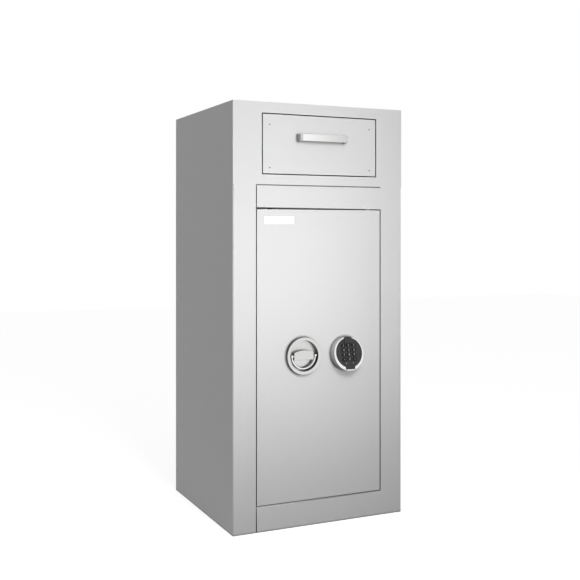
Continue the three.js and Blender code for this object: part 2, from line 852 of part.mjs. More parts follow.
// Box on the back of the leaf that holds the bolt work
function doorBox() {
  const plate = block(leafLeft + leafReturn, leafRight - leafReturn, boxFront, leafBack,
    leafBottom + leafReturn, leafTop - leafReturn);
  const outer = block(boxLeft, boxRight, boxFront, coverFront, boxBottom, boxTop);
  const t = backSheet;
  const hollow = block(boxLeft + t, boxRight - t, leafBack, coverFront - t, boxBottom + t, boxTop - t);
  const mouth = block(boxLeft + coverFlange, boxRight - coverFlange, leafBack, coverFront + overrun,
    boxBottom + coverFlange, boxTop - coverFlange);
  const through = [boxFront - overrun, leafBack + overrun];
  const spindleHole = rod('y', spindleRadius + fit + bushWall + fit, ...through, handleX, handleZ);
  const cableHole = rod('y', cableRadius, ...through, keypadX, handleZ, smallSides);
  const boltHoles = boltPlaces().map((z) => (
    rod('x', boltRadius + fit, boxRight - t - overrun, boxRight + overrun, boltY, z)));
  const body = cut(join(plate, outer), hollow, mouth, spindleHole, cableHole, ...boltHoles);
  place('door_box', body, paint, door);
}

function doorCover() {
  place('door_cover', block(boxLeft, boxRight, coverFront, boxBack, boxBottom, boxTop), paint, door);
}

// Fixed bar that catches behind the hinge post
function deadBar() {
  const y = frameBack + dogSetBack;
  const bar = block(boxLeft - dogReach, boxLeft, y, y + dogThick,
    boxBottom + dogEndInset, boxTop - dogEndInset);
  place('hinge_dead_bar', bar, steel, door);
}

// Thick strip inside the box that the bolts slide in
function boltGuide() {
  const start = guideEnd - guideLength;
  const low = boxBottom + boltEndInset - guideHalf;
  const high = boxTop - boltEndInset + guideHalf;
  const strip = block(start, guideEnd, leafBack, boltY + guideHalf, low, high);
  const holes = boltPlaces().map((z) => (
    rod('x', boltRadius + fit, start - overrun, guideEnd + overrun, boltY, z)));
  place('bolt_guide', cut(strip, ...holes), zinc, door);
}

// Involute half angle of a pinion tooth at a radius
function toothHalfAngle(radius) {
  const base = pitchRadius * Math.cos(pressureAngle);
  const involute = (angle) => Math.tan(angle) - angle;
  const at = Math.acos(Math.min(base / radius, 1));
  return Math.PI / (2 * toothCount) + involute(pressureAngle) - involute(at) - toothClear / radius;
}

// Spindle with the pinion that drives the bolt bar, about the handle's axis
function spindlePinion() {
  const tip = pitchRadius + toothModule * toothReachShare;
  const root = pitchRadius - toothModule * toothRootShare;
  const outline = [];
  for (let i = 0; i < toothCount; i += 1) {
    const middle = Math.PI / 2 + (i + 1 / 2) * 2 * Math.PI / toothCount;
    const corners = [[root, -1], [pitchRadius, -1], [tip, -1], [tip, 1], [pitchRadius, 1], [root, 1]];
    for (const [radius, side] of corners) {
      const angle = middle + side * toothHalfAngle(radius);
      outline.push([radius * Math.cos(angle), radius * Math.sin(angle)]);
    }
  }
  const middleY = boltY - front;
  const half = pinionWidth / 2;
  const gear = prism('y', points(outline), middleY - half, middleY + half);
  const shaftFrom = leafPlate - fit;
  const shaft = rod('y', spindleRadius, shaftFrom, middleY + half + spindleTail, 0, 0);
  place('spindle_pinion', join(gear, shaft), steel, handle);
}

function spindleBush() {
  const inside = spindleRadius + fit;
  const from = leafPlate;
  const to = leafDepth + bushWall;
  const tube = rod('y', inside + bushWall, from, to, 0, 0);
  const bore = rod('y', inside, from - overrun, to + overrun, 0, 0);
  place('spindle_bush', tube.subtract(bore), zinc, handle);
}

// Bar that joins the bolts, with a rack over the pinion and a ramp over the lock bolt
function boltBar() {
  const pitch = Math.PI * toothModule;
  const line = handleZ + pitchRadius;
  const lean = Math.tan(pressureAngle);
  const reach = toothModule * toothReachShare;
  const root = toothModule * toothRootShare;
  const slope = lockBoltThrow / boltThrow;
  const rampEnd = lockX + lockBoltWidth / 2;
  const rampStart = lockX - lockBoltWidth / 2 - boltThrow;
  const rampLow = lockTop + lockBoltProud + fit;
  const rampHigh = rampLow + slope * (rampEnd - rampStart);
  const top = rampLow + armHeight + lockBoltThrow;
  const neck = lockX - lockWidth / 2 - boltThrow - rackAfter;
  const rackTop = line + root + rackHeight;
  const outline = [[handleX - rackBefore / 2, line + root]];
  for (let i = rackLead - rackTeeth; i < rackLead; i += 1) {
    const x = handleX + i * pitch;
    const atRoot = pitch / 4 + root * lean - toothClear;
    const atTip = pitch / 4 - reach * lean - toothClear;
    outline.push([x - atRoot, line + root], [x - atTip, line - reach], [x + atTip, line - reach],
      [x + atRoot, line + root]);
  }
  outline.push([neck, line + root], [neck, rampHigh], [rampStart, rampHigh], [rampEnd, rampLow],
    [barRight - barWidth / 2, rampLow], [barRight - barWidth / 2, top], [neck - rackHeight, top],
    [neck - rackHeight, rackTop], [handleX - rackBefore / 2, rackTop]);
  const half = barThick / 2;
  const rack = prism('y', points(outline), boltY - half, boltY + half);
  const low = boxBottom + boltEndInset - barOverhang;
  const high = boxTop - boltEndInset + barOverhang;
  const bar = block(barLeft, barRight, boltY - half, boltY + half, low, high);
  place('bolt_bar', join(rack, bar), steel, door);
  boltPlaces().forEach((z, i) => {
    const name = ['locking_bolt_lower', 'locking_bolt_middle', 'locking_bolt_upper'][i];
    place(name, rod('x', boltRadius, barRight, boltTip, boltY, z), steel, door);
  });
}

// Lock case on the box's plate, with a bevelled bolt that rises behind the bar's ramp
function lock() {
  const half = lockBoltWidth / 2;
  const thick = lockBoltThick / 2;
  const low = lockTop - lockBoltDeep;
  const left = lockX - half;
  const right = lockX + half;
  const body = block(lockX - lockWidth / 2, lockX + lockWidth / 2, leafBack, leafBack + lockDepth,
    lockTop - lockHeight, lockTop);
  const pocket = block(left - fit, right + fit, boltY - thick - fit, boltY + thick + fit,
    low - fit, lockTop + overrun);
  place('lock_case', body.subtract(pocket), zinc, door);
  const tip = lockTop + lockBoltProud;
  const rise = lockBoltWidth * lockBoltThrow / boltThrow;
  const outline = points([[left, low], [right, low], [right, tip], [left, tip + rise]]);
  place('lock_bolt', prism('y', outline, boltY - thick, boltY + thick), steel, door);
}

// Ring handle: a raised ring let into the leaf, a turning hub with a grip bridge, and a folding bail
function ringHandle() {
  const rim = rosetteRim;
  const lipY = -rosetteProud;
  const sleeve = rosetteBore + rosetteSleeve;
  const ring = turned([
    [rosetteBore, leafPlate - fit], [rosetteBore, lipY + rimRound], [rosetteBore + rimRound, lipY],
    [rim - rimRound, lipY], [rim, lipY + rimRound], [rosetteRadius, 0],
    [sleeve, 0], [sleeve, leafPlate - fit], [rosetteBore, leafPlate - fit],
  ]);
  place('handle_rosette', ring, satin, handle);
  const x = bridgeWidth / 2;
  const bridge = new THREE.Shape();
  bridge.moveTo(-x, -bridgeBelow);
  bridge.lineTo(x, -bridgeBelow);
  bridge.lineTo(x, bridgeAbove);
  const arcRadius = (x * x + bridgeArch * bridgeArch) / (2 * bridgeArch);
  const arcAngle = Math.asin(x / arcRadius);
  const arcZ = bridgeAbove + bridgeArch - arcRadius;
  bridge.absarc(0, arcZ, arcRadius, Math.PI / 2 - arcAngle, Math.PI / 2 + arcAngle);
  const disc = rod('y', rosetteBore - hubGap, recessSink, leafPlate - fit, 0, 0, fineSides);
  const grip = prism('y', bridge, -bridgeProud, recessSink + hubGap);
  const pinHole = rod('x', bailPinRadius + fit, -bailRadius, bailRadius, -bailSet, 0, smallSides);
  place('handle_hub', join(disc, grip).subtract(pinHole), satin, handle);
  const torus = new THREE.TorusGeometry(bailRadius, bailBar, wireSides, fineSides);
  torus.rotateX(Math.PI / 2);
  torus.translate(0, -bailSet, 0);
  const reach = bailRadius + bailBar + overrun;
  const lower = block(-reach, reach, -bailSet - bailBar - overrun, -bailSet + bailBar + overrun, -reach, 0);
  const eyes = [-1, 1].map((side) => (
    sidedRod(side, bailEye, bailRadius - bailBar, bailRadius + bailBar, -bailSet, 0)));
  const holes = rod('x', bailPinRadius + fit, -reach, reach, -bailSet, 0, smallSides);
  place('handle_bail', join(solid(torus).intersect(lower), ...eyes).subtract(holes), chrome, handle);
  const pinEnd = bailRadius + bailBar;
  place('bail_pin', rod('x', bailPinRadius, -pinEnd, pinEnd, -bailSet, 0, smallSides), steel, handle);
}

// Round keypad, about its own middle on the leaf's face: chrome shell, black face, keys and battery flap
function keypadShell() {
  const r = keypadRadius;
  const front = -keypadProud;
  const behind = keypadProud;
  const recess = front + faceSink + faceThick;
  const barrel = sloped(turned([
    [0, front], [r - keypadRound, front], [r - keypadRound / 4, front + keypadRound / 4],
    [r, front + keypadRound], [r, behind], [0, behind],
  ]));
  const rear = block(-2 * r, 2 * r, 0, 2 * r, -2 * r, 2 * r);
  const hollow = rod('y', r - keypadWall, recess + ledge, behind, 0, 0, fineSides);
  const bed = rod('y', faceRadius + fit, front - overrun, recess, 0, faceRise, fineSides);
  const well = rod('y', faceRadius - ledge, recess - overrun, behind, 0, faceRise, fineSides);
  const hood = hoodWidth / 2 + fit;
  const hoodBed = block(-hood, hood, front - overrun, recess, 0, 2 * r);
  const flap = flapWidth / 2 + fit;
  const flapBack = front + flapThick * slopeLength + fit;
  const flapBed = block(-flap, flap, front - overrun, flapBack, -flapDrop - fit, -faceRadius / 2);
  const battery = block(-flap + ledge, flap - ledge, front, behind, -flapDrop + ledge, -faceRadius / 2);
  const rooms = [hollow, bed, well, hoodBed, flapBed, battery].map(sloped);
  place('keypad_base', cut(barrel, rear, ...rooms), chrome, keypad);
  const disc = rod('y', faceRadius, front + faceSink, recess, 0, faceRise, fineSides);
  const hoodBlock = block(-hoodWidth / 2, hoodWidth / 2, front - hoodProud, recess, r - hoodDrop, 2 * r);
  const envelope = rod('y', r, front - 2 * r, 0, 0, 0, fineSides);
  const face = join(sloped(disc), sloped(hoodBlock).intersect(envelope));
  const notch = block(-flap, flap, front - overrun, behind, -2 * r, -flapDrop + flapHeight + fit);
  const pockets = keyPlaces().map(([x, z]) => keyBody(x, z, fit, keyTravel + fit, overrun));
  place('keypad_face', cut(face, sloped(notch), ...pockets), black, keypad);
}

function keyPlaces() {
  const places = [];
  for (let row = 0; row < keyRows; row += 1) {
    for (let column = 0; column < keyColumns; column += 1) {
      const x = (column - (keyColumns - 1) / 2) * keyPitchX;
      const z = keyRise + ((keyRows - 1) / 2 - row) * keyPitchZ;
      places.push([x, z]);
    }
  }
  return places;
}

// A key, or with spare room at its sides, behind it and in front of it, the pocket that it sits in
function keyBody(x, z, room = 0, behind = 0, ahead = 0) {
  const y = -keypadProud + faceSink - keyProud;
  const shape = roundedRectangle(x, z, keyWidth + 2 * room, keyHeight + 2 * room, keyCorner + room);
  return sloped(prism('y', shape, y - ahead, y + keyDeep + behind));
}

// The keys, and the flap, which turns about the middle of its round top edge
function keypadKeys() {
  const names = ['1', '2', '3', '4', '5', '6', '7', '8', '9', 'left', '0', 'right'];
  keyPlaces().forEach(([x, z], i) => place(`key_${names[i]}`, keyBody(x, z), rubber, keypad));
  const r = flapThick / 2;
  const thick = flapThick * slopeLength;
  const angle = Math.atan(keypadSlope);
  const low = -keypadProud - flapDrop * keypadSlope;
  const turnZ = -flapDrop + flapHeight - r;
  const turnY = -keypadProud + thick / 2 + turnZ * keypadSlope;
  const shape = new THREE.Shape();
  shape.moveTo(low, -flapDrop);
  shape.lineTo(low + thick, -flapDrop);
  shape.absarc(turnY, turnZ, r, -angle, Math.PI - angle);
  place('battery_flap', prism('x', shape, -flapWidth / 2, flapWidth / 2), black, keypad);
}

bodyShell();
barrierFill();
innerLiner();
frontFrame();
hingePost();
hingePins();
upperHousing();
throatSleeve();
antiFishingComb();
runners();
drawerFront();
drawerBox();
dropTray();
trayHingeRod();
doorLeaf();
doorFill();
hingeBushes();
doorBox();
doorCover();
deadBar();
boltGuide();
spindlePinion();
spindleBush();
boltBar();
lock();
ringHandle();
keypadShell();
keypadKeys();

export default safe;
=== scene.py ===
# Looks of a drop safe with a deposit drawer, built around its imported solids.
# Metres in the shared frame: +X is to the right seen from the front, the front faces -Y, +Z is up.
import json
import math

import bmesh
import bpy
from mathutils import Matrix, Vector

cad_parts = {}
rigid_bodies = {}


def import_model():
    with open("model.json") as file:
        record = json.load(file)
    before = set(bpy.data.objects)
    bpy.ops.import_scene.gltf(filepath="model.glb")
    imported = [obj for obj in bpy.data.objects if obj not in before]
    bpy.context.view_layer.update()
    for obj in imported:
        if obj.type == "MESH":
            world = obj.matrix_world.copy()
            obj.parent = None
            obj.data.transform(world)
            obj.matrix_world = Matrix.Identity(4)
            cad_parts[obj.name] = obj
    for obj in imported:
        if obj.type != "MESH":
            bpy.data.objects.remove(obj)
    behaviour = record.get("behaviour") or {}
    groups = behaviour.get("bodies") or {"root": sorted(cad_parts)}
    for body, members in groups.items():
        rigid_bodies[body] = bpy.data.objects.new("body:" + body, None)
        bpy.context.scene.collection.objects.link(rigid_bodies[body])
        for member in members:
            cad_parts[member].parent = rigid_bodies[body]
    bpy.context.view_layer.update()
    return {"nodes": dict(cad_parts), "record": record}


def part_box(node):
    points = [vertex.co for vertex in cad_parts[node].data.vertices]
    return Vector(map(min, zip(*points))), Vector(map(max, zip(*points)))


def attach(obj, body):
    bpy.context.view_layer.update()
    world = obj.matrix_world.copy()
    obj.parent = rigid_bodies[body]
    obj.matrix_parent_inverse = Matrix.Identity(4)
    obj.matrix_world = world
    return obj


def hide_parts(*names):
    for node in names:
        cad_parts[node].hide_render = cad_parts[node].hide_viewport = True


for spare in list(bpy.data.objects):
    bpy.data.objects.remove(spare)

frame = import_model()
nodes = frame["nodes"]
mm = 0.001

# Sizes of the visible fittings, in millimetres, as the solids have them
handle_x = -48.5
handle_z = 404.5
keypad_x = 64.5
keypad_z = 405.5
front_y = -210.0
rosette_radius = 44.0
rosette_rim = 43.8
rosette_proud = 11.5
rosette_bore = 36.5
rosette_back = 5.75
bridge_half = 25.5
bridge_below = 9.7
bridge_above = 7.5
bridge_arch = 5.4
bridge_proud = 9.0
recess_sink = 2.0
hub_radius = 35.8
bail_radius = 30.5
bail_bar = 2.5
bail_set = 6.0
bail_eye = 3.6
keypad_radius = 40.0
keypad_proud = 24.0
keypad_slope = 0.2
keypad_round = 2.0
keypad_wall = 3.0
face_radius = 35.0
face_rise = 2.3
face_sink = 1.2
face_thick = 5.0
face_gap = 0.25
hood_width = 20.5
hood_proud = 1.5
hood_drop = 15.6
flap_width = 25.0
flap_height = 8.2
flap_thick = 2.6
flap_drop = 36.4
key_pitch_x = 13.9
key_pitch_z = 10.95
key_width = 10.4
key_height = 8.0
key_corner = 2.0
key_proud = 1.4
key_deep = 3.4
key_rise = 3.1
pull_width = 127.0
pull_proud = 23.0
pull_sheet = 4.0
pull_corner = 8.0


# Camera at the photograph's viewing angle. It stands level, and a fit of the body's edges gave the rest.
image_size = 580.0
lens_pixels = 919.3447
optical_x = 286.395
optical_y = 231.2024
camera_place = (-995.618, -2170.096, 698.739)
camera_yaw = 0.4327
sensor_width = 36.0


def make_camera():
    data = bpy.data.cameras.new("camera")
    camera = bpy.data.objects.new("camera", data)
    bpy.context.scene.collection.objects.link(camera)
    data.sensor_width = sensor_width
    data.lens = lens_pixels / image_size * sensor_width
    data.shift_x = (image_size / 2 - optical_x) / image_size
    data.shift_y = (optical_y - image_size / 2) / image_size
    data.clip_start = 0.05
    data.clip_end = 60
    camera.location = Vector(camera_place) * mm
    camera.rotation_euler = (math.pi / 2, 0, -camera_yaw)
    bpy.context.scene.camera = camera


make_camera()


# Materials

class Shade:
    """A node material under construction, with short calls for the nodes that the finishes share."""

    def __init__(self, name):
        self.material = bpy.data.materials.new(name)
        self.material.use_nodes = True
        self.tree = self.material.node_tree
        self.tree.nodes.clear()
        self.surface = self.tree.nodes.new("ShaderNodeBsdfPrincipled")
        self.link(self.surface.outputs[0], self.tree.nodes.new("ShaderNodeOutputMaterial").inputs[0])
        self.place = self.tree.nodes.new("ShaderNodeTexCoord").outputs["Object"]

    def link(self, source, target):
        self.tree.links.new(source, target)

    def node(self, kind, **values):
        made = self.tree.nodes.new(kind)
        for key, value in values.items():
            setattr(made, key, value)
        return made

    def put(self, socket, value):
        """Sets a socket to a value, or links it to another node's output."""
        if isinstance(value, bpy.types.NodeSocket):
            self.link(value, socket)
        else:
            socket.default_value = value

    def stretched(self, scale):
        mapping = self.node("ShaderNodeMapping")
        self.link(self.place, mapping.inputs["Vector"])
        mapping.inputs["Scale"].default_value = scale
        return mapping.outputs[0]

    def noise(self, scale, detail=3.0, rough=0.5, vector=None):
        made = self.node("ShaderNodeTexNoise")
        self.put(made.inputs["Vector"], vector or self.place)
        made.inputs["Scale"].default_value = scale
        made.inputs["Detail"].default_value = detail
        made.inputs["Roughness"].default_value = rough
        return made.outputs["Fac"]

    def cells(self, scale):
        """Random parts Red, Green and Blue, each the same all over one cell."""
        made = self.node("ShaderNodeTexVoronoi")
        self.link(self.place, made.inputs["Vector"])
        made.inputs["Scale"].default_value = scale
        split = self.node("ShaderNodeSeparateColor")
        self.link(made.outputs["Color"], split.inputs[0])
        return split.outputs

    def ramp(self, value, low, high, out_low, out_high):
        made = self.node("ShaderNodeMapRange")
        self.put(made.inputs["Value"], value)
        made.inputs["From Min"].default_value = low
        made.inputs["From Max"].default_value = high
        made.inputs["To Min"].default_value = out_low
        made.inputs["To Max"].default_value = out_high
        return made.outputs[0]

    def math(self, operation, a, b):
        made = self.node("ShaderNodeMath", operation=operation)
        self.put(made.inputs[0], a)
        self.put(made.inputs[1], b)
        return made.outputs[0]

    def mix(self, share, a, b):
        made = self.node("ShaderNodeMix", data_type="RGBA")
        self.put(made.inputs["Factor"], share)
        self.put(made.inputs[6], a)
        self.put(made.inputs[7], b)
        return made.outputs[2]

    def between(self, value, low, high, a, b):
        """Colour a up to the low value, colour b from the high one on, and a blend on the way."""
        return self.mix(self.ramp(value, low, high, 0.0, 1.0), a, b)

    def bump(self, height, strength, distance, before=None):
        made = self.node("ShaderNodeBump")
        self.put(made.inputs["Height"], height)
        made.inputs["Strength"].default_value = strength
        made.inputs["Distance"].default_value = distance
        if before is not None:
            self.link(before, made.inputs["Normal"])
        return made.outputs[0]

    def edges(self, reach):
        """1 on edges and corners within reach, 0 on flats, from how far a rounded normal turns away."""
        rounded = self.node("ShaderNodeBevel", samples=4)
        rounded.inputs["Radius"].default_value = reach
        flat = self.node("ShaderNodeNewGeometry").outputs["Normal"]
        dot = self.node("ShaderNodeVectorMath", operation="DOT_PRODUCT")
        self.link(rounded.outputs[0], dot.inputs[0])
        self.link(flat, dot.inputs[1])
        return self.ramp(dot.outputs["Value"], 0.995, 0.8, 0.0, 1.0)

    def crevices(self, reach):
        """0 in gaps and corners within reach, 1 in the open."""
        made = self.node("ShaderNodeAmbientOcclusion", samples=4)
        made.inputs["Distance"].default_value = reach
        return made.outputs["AO"]

    def rub(self, base, reach, share, color):
        """The base with a share of another colour along its edges."""
        return self.mix(self.math("MULTIPLY", self.edges(reach), share), base, color)

    def parts(self, vector):
        """The parts X, Y and Z of a place or a direction."""
        split = self.node("ShaderNodeSeparateXYZ")
        self.link(vector, split.inputs[0])
        return split.outputs

    def facing(self):
        """The parts X, Y and Z of the direction that a piece's own surface looks in."""
        return self.parts(self.node("ShaderNodeTexCoord").outputs["Normal"])

    def front_share(self):
        """1 on what looks to the front of its own piece, 0 on its side walls."""
        return self.ramp(self.facing()["Y"], -0.3, -0.8, 0.0, 1.0)

    def finish(self, color, roughness, metallic, normal=None):
        self.put(self.surface.inputs["Base Color"], color)
        self.put(self.surface.inputs["Roughness"], roughness)
        self.surface.inputs["Metallic"].default_value = metallic
        if normal is not None:
            self.link(normal, self.surface.inputs["Normal"])
        return self.material


paint_color = (0.657, 0.657, 0.657)
palest_paint = 0.95


def grey(value, blue=0.0):
    return (value, value, value + blue, 1.0)


def powder_coat(name, color):
    """Fine powder coat: faint orange peel, uneven gloss, paler on edges, with a painted highlight on upward
    bends and painted shade in gaps.
    """
    def tinted(factor):
        return (*(min(c * factor, palest_paint) for c in color), 1.0)

    s = Shade(name)
    speck = s.noise(1400.0, 2.0, 0.6)
    broad_tone = s.ramp(s.noise(7.0, 2.0), 0.3, 0.7, -0.012, 0.012)
    fine_tone = s.ramp(speck, 0.3, 0.7, -0.012, 0.012)
    tone = s.math("ADD", s.math("ADD", broad_tone, fine_tone), 0.5)
    base = s.mix(tone, tinted(0.97), tinted(1.03))
    worn = s.rub(base, 0.0012, 0.22, tinted(1.12))
    # Painted highlight: bends that face partly upward, but not level tops, are mixed toward a much paler
    # paint.
    rise = s.facing()["Z"]
    turned_up = s.ramp(rise, 0.2, 0.45, 0.0, 0.9)
    not_level = s.ramp(rise, 0.78, 0.97, 1.0, 0.0)
    bend_highlight = s.mix(s.math("MULTIPLY", turned_up, not_level), worn, tinted(1.45))
    # Painted shade: gaps and corners, except where they face up, are darkened almost to black.
    in_gap = s.ramp(s.crevices(0.006), 0.50, 0.88, 0.97, 0.0)
    not_facing_up = s.ramp(rise, 0.15, 0.45, 1.0, 0.0)
    gap_shade = s.mix(s.math("MULTIPLY", in_gap, not_facing_up), bend_highlight, tinted(0.12))
    rough = s.ramp(s.noise(45.0, 4.0), 0.25, 0.75, 0.40, 0.52)
    peel = s.bump(s.noise(620.0, 2.0, 0.4), 0.22, 0.00022)
    grain = s.bump(speck, 0.18, 0.00006, peel)
    s.surface.inputs["Specular IOR Level"].default_value = 0.42
    return s.finish(gap_shade, rough, 0.0, grain)


def zinc_sheet(name):
    """Galvanised sheet: spangle cells that differ in tone and gloss, fine rolling lines, and painted shade
    in its crevices.
    """
    s = Shade(name)
    spangle = s.cells(85.0)
    lines = s.noise(30.0, 4.0, 0.6, s.stretched((1.0, 26.0, 26.0)))
    base = s.mix(spangle["Red"], grey(0.50, 0.008), grey(0.64, 0.012))
    aged = s.mix(s.ramp(s.noise(16.0, 4.0), 0.4, 0.8, 0.0, 0.35), base, grey(0.42, 0.004))
    # Painted shade: crevices are darkened toward a deep grey.
    crevice_shade = s.mix(s.ramp(s.crevices(0.015), 0.3, 0.85, 0.45, 0.0), aged, grey(0.20))
    gloss = s.ramp(spangle["Green"], 0.0, 1.0, 0.30, 0.44)
    rough = s.math("ADD", gloss, s.ramp(lines, 0.3, 0.7, -0.03, 0.03))
    return s.finish(crevice_shade, rough, 1.0, s.bump(lines, 0.12, 0.0001))


def turned_steel(name, value, rough_low, rough_high):
    """Ground or turned steel with fine lines and a little oil staining."""
    s = Shade(name)
    lines = s.noise(60.0, 3.0, 0.7, s.stretched((1.0, 14.0, 30.0)))
    stain = s.noise(40.0, 5.0, 0.6)
    base = s.between(stain, 0.35, 0.75, grey(value, 0.01), grey(value * 0.78, 0.004))
    worn = s.rub(base, 0.0006, 0.5, grey(min(value * 1.25, 0.92)))
    rough = s.ramp(s.math("ADD", lines, stain), 0.6, 1.4, rough_low, rough_high)
    return s.finish(worn, rough, 1.0, s.bump(lines, 0.15, 0.00008))


def nickel_roughness(s, lines, cloud):
    """Streaks along the brushing, and broad clouds over them."""
    return s.math("ADD", s.ramp(lines, 0.3, 0.7, 0.25, 0.33), s.ramp(cloud, 0.3, 0.7, -0.03, 0.04))


def satin_nickel(name, face, wall):
    """Satin nickel: very fine brushing across a bright face, walls darkened as painted reflection and
    shade, and painted shade in crevices.
    """
    s = Shade(name)
    lines = s.noise(90.0, 4.0, 0.65, s.stretched((1.0, 6.0, 34.0)))
    cloud = s.noise(60.0, 3.0)
    brushed = s.between(lines, 0.3, 0.7, grey(face * 0.94, -0.008), grey(face * 1.05, -0.008))
    # Painted reflection and shade: the walls take a much darker colour than the face.
    wall_shade = s.between(cloud, 0.3, 0.7, grey(wall * 0.85), grey(wall * 1.15))
    base = s.mix(s.front_share(), wall_shade, brushed)
    # Painted shade: crevices are darkened almost to black.
    crevice_shade = s.mix(s.ramp(s.crevices(0.005), 0.25, 0.75, 0.8, 0.0), base, grey(0.03))
    return s.finish(crevice_shade, nickel_roughness(s, lines, cloud), 1.0, s.bump(lines, 0.10, 0.00005))


def strap_nickel(name, face, bend, wall):
    """Bright nickel on a bent strap, with painted reflection and shade: the flat front palest and fading
    from left to right, the bends darker, the ends darkest.
    """
    s = Shade(name)
    lines = s.noise(90.0, 4.0, 0.65, s.stretched((6.0, 1.0, 34.0)))
    cloud = s.noise(60.0, 3.0)
    # Painted reflection: the flat front fades from its palest at the left to darker at the right.
    painted_fade = s.ramp(s.parts(s.place)["X"], -0.050, 0.062, 1.0, face)
    brushed = s.between(lines, 0.3, 0.7, grey(0.94, -0.006), grey(1.0, -0.006))
    flat = s.mix(painted_fade, grey(0.0), brushed)
    # Painted reflection and shade: the bends darker than the front, the ends darker still.
    bend_shade = s.mix(cloud, grey(bend * 0.94), grey(bend * 1.06))
    end = s.mix(cloud, grey(wall * 0.9), grey(wall * 1.1))
    outlook = s.facing()["Y"]
    off_wall = s.between(outlook, -0.25, -0.60, end, bend_shade)
    base = s.between(outlook, -0.95, -0.985, off_wall, flat)
    return s.finish(base, nickel_roughness(s, lines, cloud), 1.0, s.bump(lines, 0.10, 0.00005))


def bright_chrome(name, face, wall):
    """Bright chrome with faint smudges and hairline scratches; its wall is darker than the face, and darker
    still below, as painted reflection and shade.
    """
    s = Shade(name)
    smudge = s.noise(55.0, 5.0, 0.6)
    scratch = s.noise(240.0, 2.0, 0.8, s.stretched((1.0, 1.0, 9.0)))
    bright = s.between(smudge, 0.4, 0.8, grey(face, 0.01), grey(face * 0.94, 0.012))
    # Painted reflection and shade: a lighter wall colour where the wall looks up, a much darker one where
    # it looks down.
    upper = s.mix(smudge, grey(wall * 1.2, 0.004), grey(wall * 1.4, 0.006))
    lower = s.mix(smudge, grey(wall * 0.25, 0.002), grey(wall * 0.35, 0.002))
    wall_shade = s.between(s.facing()["Z"], -0.75, 0.55, lower, upper)
    base = s.mix(s.front_share(), wall_shade, bright)
    rough = s.math("ADD", s.ramp(smudge, 0.35, 0.8, 0.07, 0.16), s.ramp(scratch, 0.5, 0.8, 0.0, 0.05))
    return s.finish(base, rough, 1.0, s.bump(scratch, 0.03, 0.00004))


def moulded_black(name, value, rough, grain, shine):
    """Black moulding with a fine eroded grain and paler, rubbed edges."""
    s = Shade(name)
    texture = s.noise(grain, 3.0, 0.6)
    dust = s.ramp(s.noise(110.0, 5.0, 0.7), 0.45, 0.8, 0.0, 0.5)
    base = s.mix(dust, grey(value), grey(value * 1.7))
    worn = s.rub(base, 0.0005, 0.4, grey(value * 3.2))
    gloss = s.ramp(texture, 0.3, 0.7, rough - 0.05, rough + 0.07)
    s.surface.inputs["Specular IOR Level"].default_value = shine
    return s.finish(worn, gloss, 0.0, s.bump(texture, 0.35, 0.00008))


def cast_fill(name):
    """Poured fill with pale grit and small pores."""
    s = Shade(name)
    grit = s.ramp(s.cells(420.0)["Red"], 0.75, 1.0, 0.0, 0.6)
    blotch = s.noise(18.0, 5.0, 0.6)
    base = s.mix(blotch, (0.20, 0.195, 0.18, 1.0), (0.30, 0.295, 0.275, 1.0))
    gritty = s.mix(grit, base, (0.42, 0.41, 0.38, 1.0))
    pores = s.bump(s.noise(260.0, 3.0), 0.6, 0.0006)
    return s.finish(gritty, s.ramp(blotch, 0.2, 0.8, 0.85, 0.97), 0.0, pores)


def white_print(name):
    """Screen-printed digits, a little uneven."""
    s = Shade(name)
    patch = s.noise(700.0, 3.0)
    base = s.mix(patch, (0.22, 0.225, 0.23, 1.0), (0.36, 0.365, 0.37, 1.0))
    return s.finish(base, s.ramp(patch, 0.3, 0.7, 0.5, 0.65), 0.0)


def white_plate(name):
    """Smooth white plate stock with a faint drawn sheen."""
    s = Shade(name)
    sheen = s.noise(25.0, 3.0, 0.5, s.stretched((1.0, 1.0, 20.0)))
    base = s.between(sheen, 0.3, 0.7, (0.86, 0.87, 0.88, 1.0), (0.92, 0.925, 0.93, 1.0))
    return s.finish(base, s.ramp(sheen, 0.3, 0.7, 0.24, 0.34), 0.0, s.bump(sheen, 0.05, 0.00004))


looks = {
    "cabinet_paint": powder_coat("powder_coat", paint_color),
    "barrier_fill": cast_fill("cast_fill"),
    "zinc_sheet": zinc_sheet("zinc_sheet"),
    "bright_steel": turned_steel("bright_steel", 0.60, 0.22, 0.36),
    "lock_casting": turned_steel("lock_casting", 0.36, 0.42, 0.58),
    # The nickel and chrome finishes take a face colour and then a darker wall colour; the darker walls are
    # painted reflection and shade.
    "satin_handle": satin_nickel("satin_nickel", 0.72, 0.13),
    "keypad_chrome": bright_chrome("bright_chrome", 0.88, 0.42),
    "keypad_black": moulded_black("black_moulding", 0.018, 0.42, 2600.0, 0.5),
    "key_rubber": moulded_black("key_rubber", 0.010, 0.62, 3400.0, 0.2),
}
print_white = white_print("key_print")
plate_white = white_plate("blank_plate")
# In the ring, pull and bail finishes below, the darker bend and wall values are painted reflection and
# shade.
ring_nickel = satin_nickel("ring_nickel", 0.74, 0.12)
pull_nickel = strap_nickel("pull_nickel", 0.66, 0.60, 0.30)
bail_chrome = bright_chrome("bail_chrome", 0.90, 0.12)
black_steel = turned_steel("black_steel", 0.06, 0.40, 0.55)

slot_of = {row["node"]: row["material_slot"] for row in frame["record"]["subparts"]}
body_of = {}
for body_name, members in frame["record"]["behaviour"]["bodies"].items():
    for member in members:
        body_of[member] = body_name


# Mesh helpers

